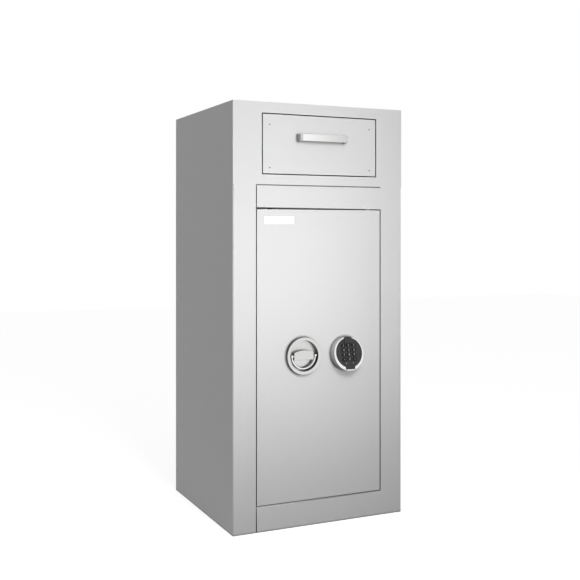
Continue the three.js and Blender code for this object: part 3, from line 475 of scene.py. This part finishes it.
def new_object(name, bm, material, body, smooth_angle=35.0, weighted=True):
    """An object from a bmesh, smooth but for its sharp edges, that rides on a body."""
    mesh = bpy.data.meshes.new(name)
    bm.to_mesh(mesh)
    bm.free()
    mesh.materials.append(material)
    mesh.polygons.foreach_set("use_smooth", [True] * len(mesh.polygons))
    mesh.set_sharp_from_angle(angle=math.radians(smooth_angle))
    made = bpy.data.objects.new(name, mesh)
    bpy.context.scene.collection.objects.link(made)
    if weighted:
        normals = made.modifiers.new("flats", "WEIGHTED_NORMAL")
        normals.keep_sharp = True
        normals.weight = 60
    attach(made, body)
    return made


def bevel_edges(bm, edges, width, segments=2):
    """Rounds edges over a width in millimetres."""
    if edges:
        bmesh.ops.bevel(bm, geom=edges, offset=width * mm, offset_type="OFFSET", segments=segments,
                        profile=0.5, affect="EDGES", clamp_overlap=True)


def sharp_edges(bm, angle, shortest, keep):
    """The edges that turn by an angle in degrees and are long enough, where keep takes their middle."""
    found = []
    for e in bm.edges:
        if len(e.link_faces) != 2 or e.calc_face_angle(0.0) < math.radians(angle):
            continue
        if e.calc_length() < shortest * mm:
            continue
        middle = (e.verts[0].co + e.verts[1].co) / 2 / mm
        if keep is None or keep(middle):
            found.append(e)
    return found


def corner_edges(bm, least=1.0):
    """The edges that turn by more than an angle in radians."""
    return [e for e in bm.edges if e.calc_face_angle(0.0) > least]


def edges_between(bm, points):
    """The edges that run between some of the points."""
    return [e for e in bm.edges if all(v in points for v in e.verts)]


def runs_along(edge, axis):
    """Says whether the two ends of an edge differ along an axis."""
    return abs(edge.verts[0].co[axis] - edge.verts[1].co[axis]) > 1e-6


def join_flats(bm, angle):
    """Joins split points, and the triangles that lie flat to within an angle in degrees."""
    bmesh.ops.remove_doubles(bm, verts=bm.verts, dist=0.002 * mm)
    bmesh.ops.dissolve_limit(bm, angle_limit=math.radians(angle), use_dissolve_boundaries=False,
                             verts=bm.verts, edges=bm.edges)


def dressed(node, width, segments=2, shortest=0.0, keep=None, wider=(), look=None):
    """The node's own shape with its sharp edges rounded, in the node's place; the wider ones come first."""
    least_turn = 35.0
    bm = bmesh.new()
    bm.from_mesh(nodes[node].data)
    join_flats(bm, 0.4)
    for chosen, wide, steps in wider:
        bevel_edges(bm, sharp_edges(bm, least_turn, shortest, chosen), wide, steps)
    bevel_edges(bm, sharp_edges(bm, least_turn, shortest, keep), width, segments)
    made = new_object(node + "_made", bm, look or looks[slot_of[node]], body_of[node])
    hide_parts(node)


# Sheet metal of the cabinet. Edges where two sheets meet flush stay square, so no groove shows there.
half_width = 225.0
fold = 4.0
flush_x = half_width - fold
seam_height = 806.5
rail_edges = (59.25, 752.25)
rail_end = 164.0
near_enough = 0.1


def off_housing_joint(middle):
    """Leaves out the joint between the housing and the lower body."""
    return abs(middle.z - seam_height) >= near_enough


def off_corner_joint(middle):
    """Leaves out that joint, and the ends of the front sheets where they meet the folded corners."""
    at_corner = abs(abs(middle.x) - flush_x) < near_enough and middle.y < front_y + fold
    return not at_corner and off_housing_joint(middle)


def foot(middle):
    """The edges that stand on the floor."""
    return middle.z < near_enough and off_corner_joint(middle)


def rail_bend(middle):
    """The folded edges of the two rails, above and below the door."""
    at_front = abs(middle.y - front_y) < near_enough and abs(middle.x) < rail_end
    return at_front and any(abs(middle.z - edge_z) < near_enough for edge_z in rail_edges)


foot_round = (foot, 1.5, 4)
rail_round = (rail_bend, 3.0, 6)
dressed("body_shell", 0.35, 1, shortest=3.0, keep=off_corner_joint, wider=[foot_round])
dressed("front_frame", 1.1, 3, shortest=3.0, keep=off_corner_joint, wider=[rail_round, foot_round])
dressed("hinge_post", 1.1, 3, shortest=3.0, keep=off_corner_joint, wider=[foot_round])
dressed("upper_housing", 0.45, 2, shortest=3.0, keep=off_housing_joint)
dressed("door_leaf", 0.9, 3, shortest=6.0)
dressed("drawer_front", 0.6, 3, shortest=3.0)

thin_sheets = ("inner_liner", "door_box", "door_cover", "drawer_box", "drop_tray", "throat_sleeve",
               "anti_fishing_comb", "runner_bracket_left", "runner_bracket_right", "tray_cam_plate_left",
               "tray_cam_plate_right", "runner_outer_left", "runner_outer_right", "runner_middle_left",
               "runner_middle_right", "runner_inner_left", "runner_inner_right")
blocks = ("hinge_dead_bar", "bolt_guide", "lock_case", "bolt_bar", "lock_bolt", "hinge_bush_lower",
          "hinge_bush_upper")
turned_parts = ("locking_bolt_lower", "locking_bolt_middle", "locking_bolt_upper", "spindle_pinion",
                "spindle_bush", "tray_hinge_rod", "bail_pin")
for members, width, shortest in ((thin_sheets, 0.3, 2.6), (blocks, 0.5, 2.0), (turned_parts, 0.3, 0.6)):
    for member in members:
        dressed(member, width, shortest=shortest)
for pin in ("hinge_pin_lower", "hinge_pin_upper"):
    dressed(pin, 0.3, shortest=0.6, look=black_steel)
for hidden in ("barrier_fill", "door_fill"):
    nodes[hidden].data.materials.clear()
    nodes[hidden].data.materials.append(looks["barrier_fill"])


def prism(bm, near_outline, far_outline):
    """A closed prism between two outlines of points in millimetres; gives the points of the near end."""
    near = [bm.verts.new((x * mm, y * mm, z * mm)) for x, y, z in near_outline]
    far = [bm.verts.new((x * mm, y * mm, z * mm)) for x, y, z in far_outline]
    count = len(near)
    bm.faces.new(near)
    bm.faces.new(list(reversed(far)))
    for i in range(count):
        j = (i + 1) % count
        bm.faces.new((near[j], near[i], far[i], far[j]))
    return near


def extrude_along_y(bm, outline, y0, y1):
    """A prism from (x, z) points that turn left as seen from the front; gives its front points."""
    return prism(bm, [(x, y0, z) for x, z in outline], [(x, y1, z) for x, z in outline])


def rounded_outline(x, z, width, height, radius, steps=6):
    """The (x, z) points of a rectangle with round corners about its middle."""
    points = []
    for k, (sx, sz) in enumerate(((1, 1), (-1, 1), (-1, -1), (1, -1))):
        cx = x + sx * (width / 2 - radius)
        cz = z + sz * (height / 2 - radius)
        for i in range(steps + 1):
            angle = math.pi / 2 * (k + i / steps)
            points.append((cx + radius * math.cos(angle), cz + radius * math.sin(angle)))
    return points


def circle_outline(x, z, radius, steps):
    return [(x + radius * math.cos(2 * math.pi * i / steps), z + radius * math.sin(2 * math.pi * i / steps))
            for i in range(steps)]


def lathe_y(bm, profile, steps, x, z):
    """A closed ring about the Y axis through (x, z), from a closed profile of (radius, y) points."""
    rings = []
    for i in range(steps):
        angle = 2 * math.pi * i / steps
        rings.append([bm.verts.new(((x + r * math.cos(angle)) * mm, y * mm, (z + r * math.sin(angle)) * mm))
                      for r, y in profile])
    count = len(profile)
    for i in range(steps):
        a, b = rings[i], rings[(i + 1) % steps]
        for k in range(count):
            m = (k + 1) % count
            bm.faces.new((a[k], a[m], b[m], b[k]))


def arc(cx, cy, radius, start, end, steps):
    """Points of an arc, in degrees, as (cx + r cos, cy + r sin)."""
    turn = [math.radians(start + (end - start) * i / steps) for i in range(steps + 1)]
    return [(cx + radius * math.cos(t), cy + radius * math.sin(t)) for t in turn]


# A profile that closes on the axis ends this far off it, and the points there are joined afterwards.
pole = 0.001


def turned_bmesh(profile, steps, x, z):
    """A solid of revolution about the Y axis through (x, z), whose profile starts and ends on the axis."""
    bm = bmesh.new()
    lathe_y(bm, profile, steps, x, z)
    bmesh.ops.remove_doubles(bm, verts=bm.verts, dist=0.003 * mm)
    return bm


def outward(bm):
    bmesh.ops.recalc_face_normals(bm, faces=bm.faces)


def solid_mesh(bm, name):
    """A bmesh as a bare object for a boolean cut."""
    outward(bm)
    mesh = bpy.data.meshes.new(name)
    bm.to_mesh(mesh)
    bm.free()
    made = bpy.data.objects.new(name, mesh)
    bpy.context.scene.collection.objects.link(made)
    return made


def evaluated_bmesh(made):
    """What an object looks like after its modifiers, as a bmesh."""
    bpy.context.view_layer.update()
    graph = bpy.context.evaluated_depsgraph_get()
    bm = bmesh.new()
    bm.from_mesh(made.evaluated_get(graph).to_mesh())
    return bm


def cut_with(target, cutters, operation="DIFFERENCE"):
    """The target with the cutters cut away, joined or kept, as a bmesh; all of them are used up."""
    for cutter in cutters:
        change = target.modifiers.new("cut", "BOOLEAN")
        change.operation = operation
        change.solver = "EXACT"
        change.object = cutter
    bm = evaluated_bmesh(target)
    for done in [target, *cutters]:
        bpy.data.objects.remove(done)
    join_flats(bm, 0.3)
    return bm


def finished(name, bm, node, smooth_angle=35.0, look=None):
    """A detailed piece in the place of one node."""
    outward(bm)
    made = new_object(name, bm, look or looks[slot_of[node]], body_of[node], smooth_angle)
    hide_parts(node)


# Ring handle

def handle_rosette():
    """The raised ring round the handle, let into the leaf."""
    y = front_y
    lip = y - rosette_proud
    inner_round = 0.8
    outer_round = 0.7
    leaf_bore = rosette_bore + 0.7
    profile = [(rosette_bore, y + rosette_back)]
    profile += arc(rosette_bore + inner_round, lip + inner_round, inner_round, 180, 270, 5)
    profile += arc(rosette_rim - outer_round, lip + outer_round, outer_round, 270, 360, 6)
    profile += [(rosette_radius, y), (leaf_bore, y), (leaf_bore, y + rosette_back)]
    bm = bmesh.new()
    lathe_y(bm, profile, 128, handle_x, handle_z)
    finished("handle_ring", bm, "handle_rosette", 40.0, ring_nickel)


def handle_hub():
    """A disc with the grip bridge on it, whose upper edge is arched."""
    floor = front_y + recess_sink
    disc_round = 0.5
    bridge_round = 1.0
    bridge_root = 1.0
    disc = bmesh.new()
    circle = circle_outline(handle_x, handle_z, hub_radius, 96)
    rim = extrude_along_y(disc, circle, floor, front_y + rosette_back)
    bevel_edges(disc, edges_between(disc, rim), disc_round, 3)
    disc_part = solid_mesh(disc, "hub_disc")
    top = handle_z + bridge_above + bridge_arch
    below = handle_z - bridge_below
    radius = (bridge_half ** 2 + bridge_arch ** 2) / (2 * bridge_arch)
    angle = math.degrees(math.asin(bridge_half / radius))
    outline = [(handle_x - bridge_half, below), (handle_x + bridge_half, below)]
    outline += arc(handle_x, top - radius, radius, 90 - angle, 90 + angle, 16)
    bridge = bmesh.new()
    rim = extrude_along_y(bridge, outline, front_y - bridge_proud, floor + bridge_root)
    tall = [e for e in corner_edges(bridge, 0.6) if runs_along(e, 1)]
    bevel_edges(bridge, tall + edges_between(bridge, rim), bridge_round, 4)
    whole = cut_with(disc_part, [solid_mesh(bridge, "hub_bridge")], "UNION")
    finished("handle_hub_turned", whole, "handle_hub")


def handle_bail():
    """A half ring of round bar that ends in two eyes round the pin."""
    y = front_y - bail_set
    steps = 56
    sides = 20
    eye_round = 0.7
    deep = Vector((0, 1, 0))
    bm = bmesh.new()
    rings = []
    for i in range(steps + 1):
        angle = math.pi + math.pi * i / steps
        x = handle_x + bail_radius * math.cos(angle)
        z = handle_z + bail_radius * math.sin(angle)
        out = Vector((math.cos(angle), 0, math.sin(angle)))
        ring = []
        for k in range(sides):
            turn = 2 * math.pi * k / sides
            aside = bail_bar * (out * math.cos(turn) + deep * math.sin(turn))
            ring.append(bm.verts.new((Vector((x, y, z)) + aside) * mm))
        rings.append(ring)
    for a, b in zip(rings, rings[1:]):
        for k in range(sides):
            m = (k + 1) % sides
            bm.faces.new((a[k], a[m], b[m], b[k]))
    bm.faces.new(rings[0])
    bm.faces.new(list(reversed(rings[-1])))
    ring_part = solid_mesh(bm, "bail_ring")
    eyes = []
    for side in (-1, 1):
        eye = bmesh.new()
        extrude_along_y(eye, circle_outline(0, 0, bail_eye, 40), -bail_bar, bail_bar)
        bevel_edges(eye, corner_edges(eye), eye_round, 3)
        place = Matrix.Translation(Vector((handle_x + side * bail_radius, y, handle_z)) * mm)
        bmesh.ops.transform(eye, verts=eye.verts, matrix=place @ Matrix.Rotation(math.pi / 2, 4, "Z"))
        eyes.append(solid_mesh(eye, "bail_eye"))
    finished("handle_bail_ring", cut_with(ring_part, eyes, "UNION"), "handle_bail", 40.0, bail_chrome)


handle_rosette()
handle_hub()
handle_bail()


# Keypad. Its parts are made upright and then sloped. A cutter reaches past what it cuts by the overrun.
slope_length = math.hypot(1.0, keypad_slope)
overrun = 6.0
ledge = 2.5


def slope(bm):
    """Moves each point back in step with its height over the keypad's middle, which slopes the front."""
    for v in bm.verts:
        v.co.y += (v.co.z - keypad_z * mm) * keypad_slope
    return bm


def disc_bmesh(rise, radius, y0, y1, steps=128):
    bm = bmesh.new()
    extrude_along_y(bm, circle_outline(keypad_x, keypad_z + rise, radius, steps), y0, y1)
    return bm


def block_bmesh(x0, x1, y0, y1, z0, z1):
    bm = bmesh.new()
    extrude_along_y(bm, [(x0, z0), (x1, z0), (x1, z1), (x0, z1)], y0, y1)
    return bm


def keypad_block(half, y0, y1, z0, z1):
    """A block across the keypad's middle."""
    return block_bmesh(keypad_x - half, keypad_x + half, y0, y1, z0, z1)


def keypad_base():
    """The chrome shell with its rooms for the black face, the hood, the flap and the battery."""
    rim_back = 0.05
    lip_deep = 3.0
    lip_round = 0.35
    y = front_y - keypad_proud + rim_back
    r = keypad_radius
    behind = front_y + keypad_proud
    through = behind + overrun
    recess = y + face_sink + face_thick
    profile = [(pole, y)]
    profile += arc(r - keypad_round, y + keypad_round, keypad_round, 270, 360, 8)
    profile += [(r, behind), (pole, behind)]
    outer = solid_mesh(turned_bmesh(profile, 128, keypad_x, keypad_z), "shell_outer")
    hood = hood_width / 2 + face_gap
    flap = flap_width / 2 + face_gap
    flap_back = y + flap_thick * slope_length + face_gap
    flap_low = keypad_z - flap_drop
    under_face = keypad_z - face_radius / 2
    rooms = {
        "hollow": disc_bmesh(0.0, r - keypad_wall, recess + ledge, through),
        "bed": disc_bmesh(face_rise, face_radius + face_gap, y - overrun, recess),
        "well": disc_bmesh(face_rise, face_radius - ledge, recess - overrun, through, 96),
        "hood": keypad_block(hood, y - overrun, recess, keypad_z, keypad_z + 2 * r),
        "flap": keypad_block(flap, y - overrun, flap_back, flap_low - face_gap, under_face),
        "battery": keypad_block(flap - ledge, y, through, flap_low + ledge, under_face),
    }
    bm = cut_with(outer, [solid_mesh(room, "shell_" + name) for name, room in rooms.items()])
    bevel_edges(bm, sharp_edges(bm, 50.0, 0.8, lambda middle: middle.y < y + lip_deep), lip_round, 2)
    barrel = solid_mesh(slope(bm), "shell_barrel")
    rear = keypad_block(2 * r, front_y, front_y + 2 * r, keypad_z - 2 * r, keypad_z + 2 * r)
    finished("keypad_shell", cut_with(barrel, [solid_mesh(rear, "shell_rear")]), "keypad_base", 40.0)


def key_places():
    """Each key's name and middle: twelve keys in four rows of three."""
    names = ("1", "2", "3", "4", "5", "6", "7", "8", "9", "left", "0", "right")
    middle_column = 1
    middle_row = 1.5
    places = []
    for i, name in enumerate(names):
        row, column = divmod(i, 3)
        x = keypad_x + (column - middle_column) * key_pitch_x
        z = keypad_z + key_rise + (middle_row - row) * key_pitch_z
        places.append((name, x, z))
    return places


def keypad_face():
    """The black face with its hood above, a notch for the flap below and a pocket for each key."""
    rim_round = 0.5
    hood_round = 1.2
    crown_round = 0.8
    crown_deep = 3.5
    key_play = 0.25
    pocket_spare = 1.25
    pocket_round = 0.2
    flush = 0.05
    r = keypad_radius
    shell_front = front_y - keypad_proud
    top = shell_front + face_sink
    back = top + face_thick
    bm = bmesh.new()
    rim = extrude_along_y(bm, circle_outline(keypad_x, keypad_z + face_rise, face_radius, 128), top, back)
    bevel_edges(bm, edges_between(bm, rim), rim_round, 3)
    disc = solid_mesh(bm, "face_disc")
    hood_low = keypad_z + r - hood_drop
    bm = keypad_block(hood_width / 2, shell_front - hood_proud, back, hood_low, keypad_z + 2 * r)
    bevel_edges(bm, [e for e in bm.edges if all(v.co.y < shell_front * mm for v in e.verts)], hood_round, 4)
    hood = solid_mesh(bm, "face_hood")
    envelope = solid_mesh(disc_bmesh(0.0, r, top - 2 * overrun, front_y), "face_envelope")
    bm = cut_with(hood, [envelope], "INTERSECT")
    crown_low = keypad_z + r - crown_deep
    crown = sharp_edges(bm, 60.0, 0.3, lambda middle: middle.z > crown_low and middle.y < shell_front)
    bevel_edges(bm, crown, crown_round, 3)
    disc = solid_mesh(cut_with(disc, [solid_mesh(bm, "face_hood")], "UNION"), "face_disc")
    notch = keypad_block(flap_width / 2 + face_gap, top - 2 * overrun, back + overrun,
                         keypad_z - 2 * r, keypad_z - flap_drop + flap_height + face_gap)
    cutters = [solid_mesh(notch, "face_notch")]
    wide = key_width + 2 * key_play
    high = key_height + 2 * key_play
    pocket_back = top - key_proud + key_deep + pocket_spare
    for _, x, z in key_places():
        pocket = bmesh.new()
        outline = rounded_outline(x, z, wide, high, key_corner + key_play)
        extrude_along_y(pocket, outline, top - overrun, pocket_back)
        cutters.append(solid_mesh(pocket, "face_pocket"))
    bm = cut_with(disc, cutters)
    bevel_edges(bm, sharp_edges(bm, 60.0, 0.0, lambda middle: abs(middle.y - top) < flush), pocket_round, 2)
    finished("keypad_panel", slope(bm), "keypad_face")


def keypad_keys():
    """Twelve keycaps, each with its mark."""
    key_round = 0.8
    top = front_y - keypad_proud + face_sink - key_proud
    for name, x, z in key_places():
        bm = bmesh.new()
        outline = rounded_outline(x, z, key_width, key_height, key_corner, 8)
        rim = extrude_along_y(bm, outline, top, top + key_deep)
        bevel_edges(bm, edges_between(bm, rim), key_round, 5)
        finished("keycap_" + name, slope(bm), "key_" + name, 40.0)
        key_mark(name, x, z, top)


def digit_bmesh(text, x, y, z):
    """A raised digit of the plain built-in face, seen from the front."""
    curve = bpy.data.curves.new("digit_" + text, "FONT")
    curve.body = text
    curve.size = 7.2 * mm
    curve.align_x = "CENTER"
    curve.align_y = "CENTER"
    curve.extrude = 0.03 * mm
    curve.offset = 0.14 * mm
    curve.resolution_u = 4
    text_object = bpy.data.objects.new("digit_" + text, curve)
    bpy.context.scene.collection.objects.link(text_object)
    bm = evaluated_bmesh(text_object)
    bpy.data.objects.remove(text_object)
    turn = Matrix.Translation(Vector((x, y, z)) * mm) @ Matrix.Rotation(math.pi / 2, 4, "X")
    bmesh.ops.transform(bm, verts=bm.verts, matrix=turn)
    bmesh.ops.remove_doubles(bm, verts=bm.verts, dist=0.001 * mm)
    return bm


def key_mark(name, x, z, top):
    """The printed mark of one key: its digit, or a triangle or ring on the two lower corner keys."""
    half_thick = 0.03
    y = top - 0.02
    front = y - half_thick
    back = y + half_thick
    if name == "left":
        triangle = [(x - 1.5, z), (x + 1.1, z - 1.4), (x + 1.1, z + 1.4)]
        bm = bmesh.new()
        extrude_along_y(bm, triangle, front, back)
    elif name == "right":
        inner = 1.0
        outer = 1.5
        bm = bmesh.new()
        lathe_y(bm, [(inner, back), (inner, front), (outer, front), (outer, back)], 32, x, z)
    else:
        bm = digit_bmesh(name, x, y, z)
    outward(bm)
    made = new_object("key_print_" + name, slope(bm), print_white, "key_" + name, 40.0, False)


def keypad_marks():
    """Two small lamps in the black face, below the keys."""
    top = front_y - keypad_proud + face_sink
    lamp_drop = 22.3
    dome = [(pole, -0.45), (0.75, -0.38), (1.15, -0.1), (1.2, 0.3), (pole, 0.3)]
    profile = [(radius, top + behind) for radius, behind in dome]
    for i, aside in enumerate((-9.0, 9.8)):
        bm = turned_bmesh(profile, 24, keypad_x + aside, keypad_z - lamp_drop)
        outward(bm)
        made = new_object(f"keypad_lamp_{i + 1}", slope(bm), print_white, "door", 40.0, False)


def battery_flap():
    """A sloped flap that turns on its rounded upper edge, with three grip grooves."""
    flap_round = 0.4
    groove_half = 6.5
    groove_rise = 3.1
    groove_pitch = 1.5
    groove_deep = 0.35
    groove_wide = 0.6
    y = front_y - keypad_proud
    r = flap_thick / 2
    thick = flap_thick * slope_length
    lean = math.degrees(math.atan(keypad_slope))
    low = y - flap_drop * keypad_slope
    turn_z = -flap_drop + flap_height - r
    turn_y = y + thick / 2 + turn_z * keypad_slope
    outline = [(low, -flap_drop), (low + thick, -flap_drop)]
    outline += arc(turn_y, turn_z, r, -lean, 180 - lean, 10)
    left = keypad_x - flap_width / 2
    right = keypad_x + flap_width / 2
    bm = bmesh.new()
    prism(bm, [(left, a, keypad_z + b) for a, b in outline], [(right, a, keypad_z + b) for a, b in outline])
    outward(bm)
    bevel_edges(bm, corner_edges(bm, 0.9), flap_round, 3)
    body = solid_mesh(bm, "flap_body")
    grooves = []
    for k in (-1, 0, 1):
        z = keypad_z - flap_drop + groove_rise + k * groove_pitch
        low_z = z - groove_wide / 2
        groove = keypad_block(groove_half, y - 1.0, y + groove_deep, low_z, low_z + groove_wide)
        grooves.append(solid_mesh(slope(groove), "flap_groove"))
    finished("battery_flap_cover", cut_with(body, grooves), "battery_flap")


keypad_base()
keypad_face()
keypad_keys()
keypad_marks()
battery_flap()


# Drawer pull

def drawer_pull():
    """One flat strap, bent twice, that stands on the drawer front with its two ends."""
    low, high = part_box("drawer_handle")
    x = pull_width / 2
    y = front_y - pull_proud
    strap_round = 0.9
    outer = pull_corner
    inner = pull_corner - pull_sheet
    outline = [(-x, front_y)]
    outline += arc(-x + outer, y + outer, outer, 180, 270, 12)
    outline += arc(x - outer, y + outer, outer, 270, 360, 12)
    outline += [(x, front_y), (x - pull_sheet, front_y)]
    outline += arc(x - outer, y + outer, inner, 0, -90, 10)
    outline += arc(-x + outer, y + outer, inner, 270, 180, 10)
    outline += [(-x + pull_sheet, front_y)]
    bm = bmesh.new()
    prism(bm, [(a, b, low.z / mm) for a, b in outline], [(a, b, high.z / mm) for a, b in outline])
    outward(bm)
    bevel_edges(bm, [e for e in corner_edges(bm) if not runs_along(e, 2)], strap_round, 4)
    finished("drawer_pull", bm, "drawer_handle", 35.0, pull_nickel)


drawer_pull()


# Small fittings that the solids leave out

def screw(name, body, place, radius, head, material, side):
    """A round-headed screw with a hexagon socket, seated at its place; side -1 looks forward, 1 back."""
    x, y, z = place
    edge = head * 0.35
    socket_radius = radius * 0.52
    socket_floor = y + side * head * 0.35
    past_head = y + side * (head + 1.0)
    corner_steps = 4
    profile = [(pole, y + side * head), (radius - edge, y + side * head)]
    for i in range(1, corner_steps + 1):
        turn = math.pi / 2 * i / corner_steps
        rise = head - edge + edge * math.cos(turn)
        profile.append((radius - edge + edge * math.sin(turn), y + side * rise))
    profile += [(radius, y), (pole, y)]
    head_part = solid_mesh(turned_bmesh(profile, 32, x, z), name)
    socket = bmesh.new()
    hexagon = circle_outline(x, z, socket_radius, 6)
    extrude_along_y(socket, hexagon, min(past_head, socket_floor), max(past_head, socket_floor))
    bm = cut_with(head_part, [solid_mesh(socket, name + "_socket")])
    outward(bm)
    made = new_object(name, bm, material, body)


def drawer_screws():
    """Four small dark screws, sunk in the drawer front."""
    radius = 1.5
    head = 1.0
    sunk = 1.3
    aside = 133.0
    n = 0
    for z in (847.0, 947.5):
        for x in (-aside, aside):
            n += 1
            screw(f"drawer_screw_{n}", "drawer", (x, front_y + sunk, z), radius, head, black_steel, -1)


def cover_screws():
    """Eight screws along the upright edges of the cover on the door's back."""
    low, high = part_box("door_cover")
    radius = 3.6
    head = 1.8
    inset = 7.0
    on_a_side = 4
    left = low.x / mm + inset
    right = high.x / mm - inset
    span = (high.z - low.z - 2 * inset * mm) / mm
    n = 0
    for x in (left, right):
        for k in range(on_a_side):
            n += 1
            z = low.z / mm + inset + span * k / (on_a_side - 1)
            screw(f"cover_screw_{n}", "door", (x, high.y / mm, z), radius, head, looks["bright_steel"], 1)


def blank_plate():
    """A bare plate at the door's upper left."""
    x = -108.8
    z = 724.4
    width = 77.6
    height = 19.2
    corner = 0.8
    thick = 0.35
    rim_round = 0.12
    bm = bmesh.new()
    rim = extrude_along_y(bm, rounded_outline(x, z, width, height, corner, 4), front_y - thick, front_y)
    outward(bm)
    bevel_edges(bm, edges_between(bm, rim), rim_round)
    made = new_object("blank_plate", bm, plate_white, "door")


def stop_pad():
    """A small pale buffer under the top rail, above the door's right end."""
    left = 130.5
    width = 6.0
    front = front_y + 4.0
    deep = 12.0
    thick = 1.65
    pad_round = 0.3
    rail_low = rail_edges[1]
    bm = block_bmesh(left, left + width, front, front + deep, rail_low - thick, rail_low)
    outward(bm)
    bevel_edges(bm, corner_edges(bm), pad_round)
    made = new_object("stop_pad", bm, plate_white, "cabinet")


drawer_screws()
cover_screws()
blank_plate()
stop_pad()


# Stage and light

def seen_rays(tree):
    """1 for the rays of the camera, of gloss and of glass, and 0 for those that light the object."""
    path = tree.nodes.new("ShaderNodeLightPath")
    seen = path.outputs["Is Camera Ray"]
    for kind in ("Is Glossy Ray", "Is Transmission Ray"):
        either = tree.nodes.new("ShaderNodeMath")
        either.operation = "MAXIMUM"
        tree.links.new(seen, either.inputs[0])
        tree.links.new(path.outputs[kind], either.inputs[1])
        seen = either.outputs[0]
    return seen


def plain_shader(tree, kind, value):
    """A shader node of one grey."""
    made = tree.nodes.new(kind)
    made.inputs["Color"].default_value = grey(value)
    return made


def pick_shader(tree, lighting, shown, output):
    """Sends one shader to the rays that light the object, and another to the rays that see."""
    mix = tree.nodes.new("ShaderNodeMixShader")
    tree.links.new(seen_rays(tree), mix.inputs[0])
    tree.links.new(lighting.outputs[0], mix.inputs[1])
    tree.links.new(shown.outputs[0], mix.inputs[2])
    tree.links.new(mix.outputs[0], tree.nodes.new(output).inputs[0])


def make_floor():
    """A floor that shows white but for the object's shadow, and lights the object as a grey one does."""
    reach = 6.0
    lighting_grey = 0.35
    shown_grey = 0.70
    glow = 0.71
    bm = bmesh.new()
    corners = [(-reach, -reach), (reach, -reach), (reach, reach), (-reach, reach)]
    bm.faces.new([bm.verts.new((x, y, 0.0)) for x, y in corners])
    mesh = bpy.data.meshes.new("floor")
    bm.to_mesh(mesh)
    bm.free()
    floor = bpy.data.objects.new("floor", mesh)
    bpy.context.scene.collection.objects.link(floor)
    material = bpy.data.materials.new("floor")
    material.use_nodes = True
    tree = material.node_tree
    tree.nodes.clear()
    glowing = plain_shader(tree, "ShaderNodeEmission", 1.0)
    glowing.inputs["Strength"].default_value = glow
    shown = tree.nodes.new("ShaderNodeAddShader")
    tree.links.new(plain_shader(tree, "ShaderNodeBsdfDiffuse", shown_grey).outputs[0], shown.inputs[0])
    tree.links.new(glowing.outputs[0], shown.inputs[1])
    lighting = plain_shader(tree, "ShaderNodeBsdfDiffuse", lighting_grey)
    pick_shader(tree, lighting, shown, "ShaderNodeOutputMaterial")
    mesh.materials.append(material)


def make_world():
    """A white backdrop, and a soft light that falls from above and fades toward the floor."""
    ambient = 0.242
    lowest = 0.1
    highest = 1.9
    world = bpy.data.worlds.new("studio")
    bpy.context.scene.world = world
    world.use_nodes = True
    tree = world.node_tree
    tree.nodes.clear()
    direction = tree.nodes.new("ShaderNodeSeparateXYZ")
    tree.links.new(tree.nodes.new("ShaderNodeTexCoord").outputs["Generated"], direction.inputs[0])
    overhead = tree.nodes.new("ShaderNodeMapRange")
    overhead.inputs["From Min"].default_value = -1.0
    overhead.inputs["To Min"].default_value = ambient * lowest
    overhead.inputs["To Max"].default_value = ambient * highest
    tree.links.new(direction.outputs["Z"], overhead.inputs["Value"])
    fill = plain_shader(tree, "ShaderNodeBackground", 1.0)
    tree.links.new(overhead.outputs[0], fill.inputs["Strength"])
    pick_shader(tree, fill, plain_shader(tree, "ShaderNodeBackground", 1.0), "ShaderNodeOutputWorld")


def make_lamp(name, place, power, spread):
    """A square soft box that looks straight at the front; spread is the angle that its light fills."""
    straight_on = Vector((0, 1, 0))
    data = bpy.data.lights.new(name, "AREA")
    data.shape = "SQUARE"
    data.size = 0.45
    data.energy = power
    data.spread = math.radians(spread)
    lamp = bpy.data.objects.new(name, data)
    bpy.context.scene.collection.objects.link(lamp)
    lamp.location = place
    lamp.rotation_euler = straight_on.to_track_quat("-Z", "Y").to_euler()
    lamp.visible_camera = False
    lamp.visible_glossy = False


make_floor()
make_world()
make_lamp("upper", (-0.175, -1.230, 1.050), power=8.4, spread=180.0)
make_lamp("lower", (-0.125, -1.390, 0.530), power=0.69, spread=53.2)

bpy.context.scene.view_settings.view_transform = "Standard"
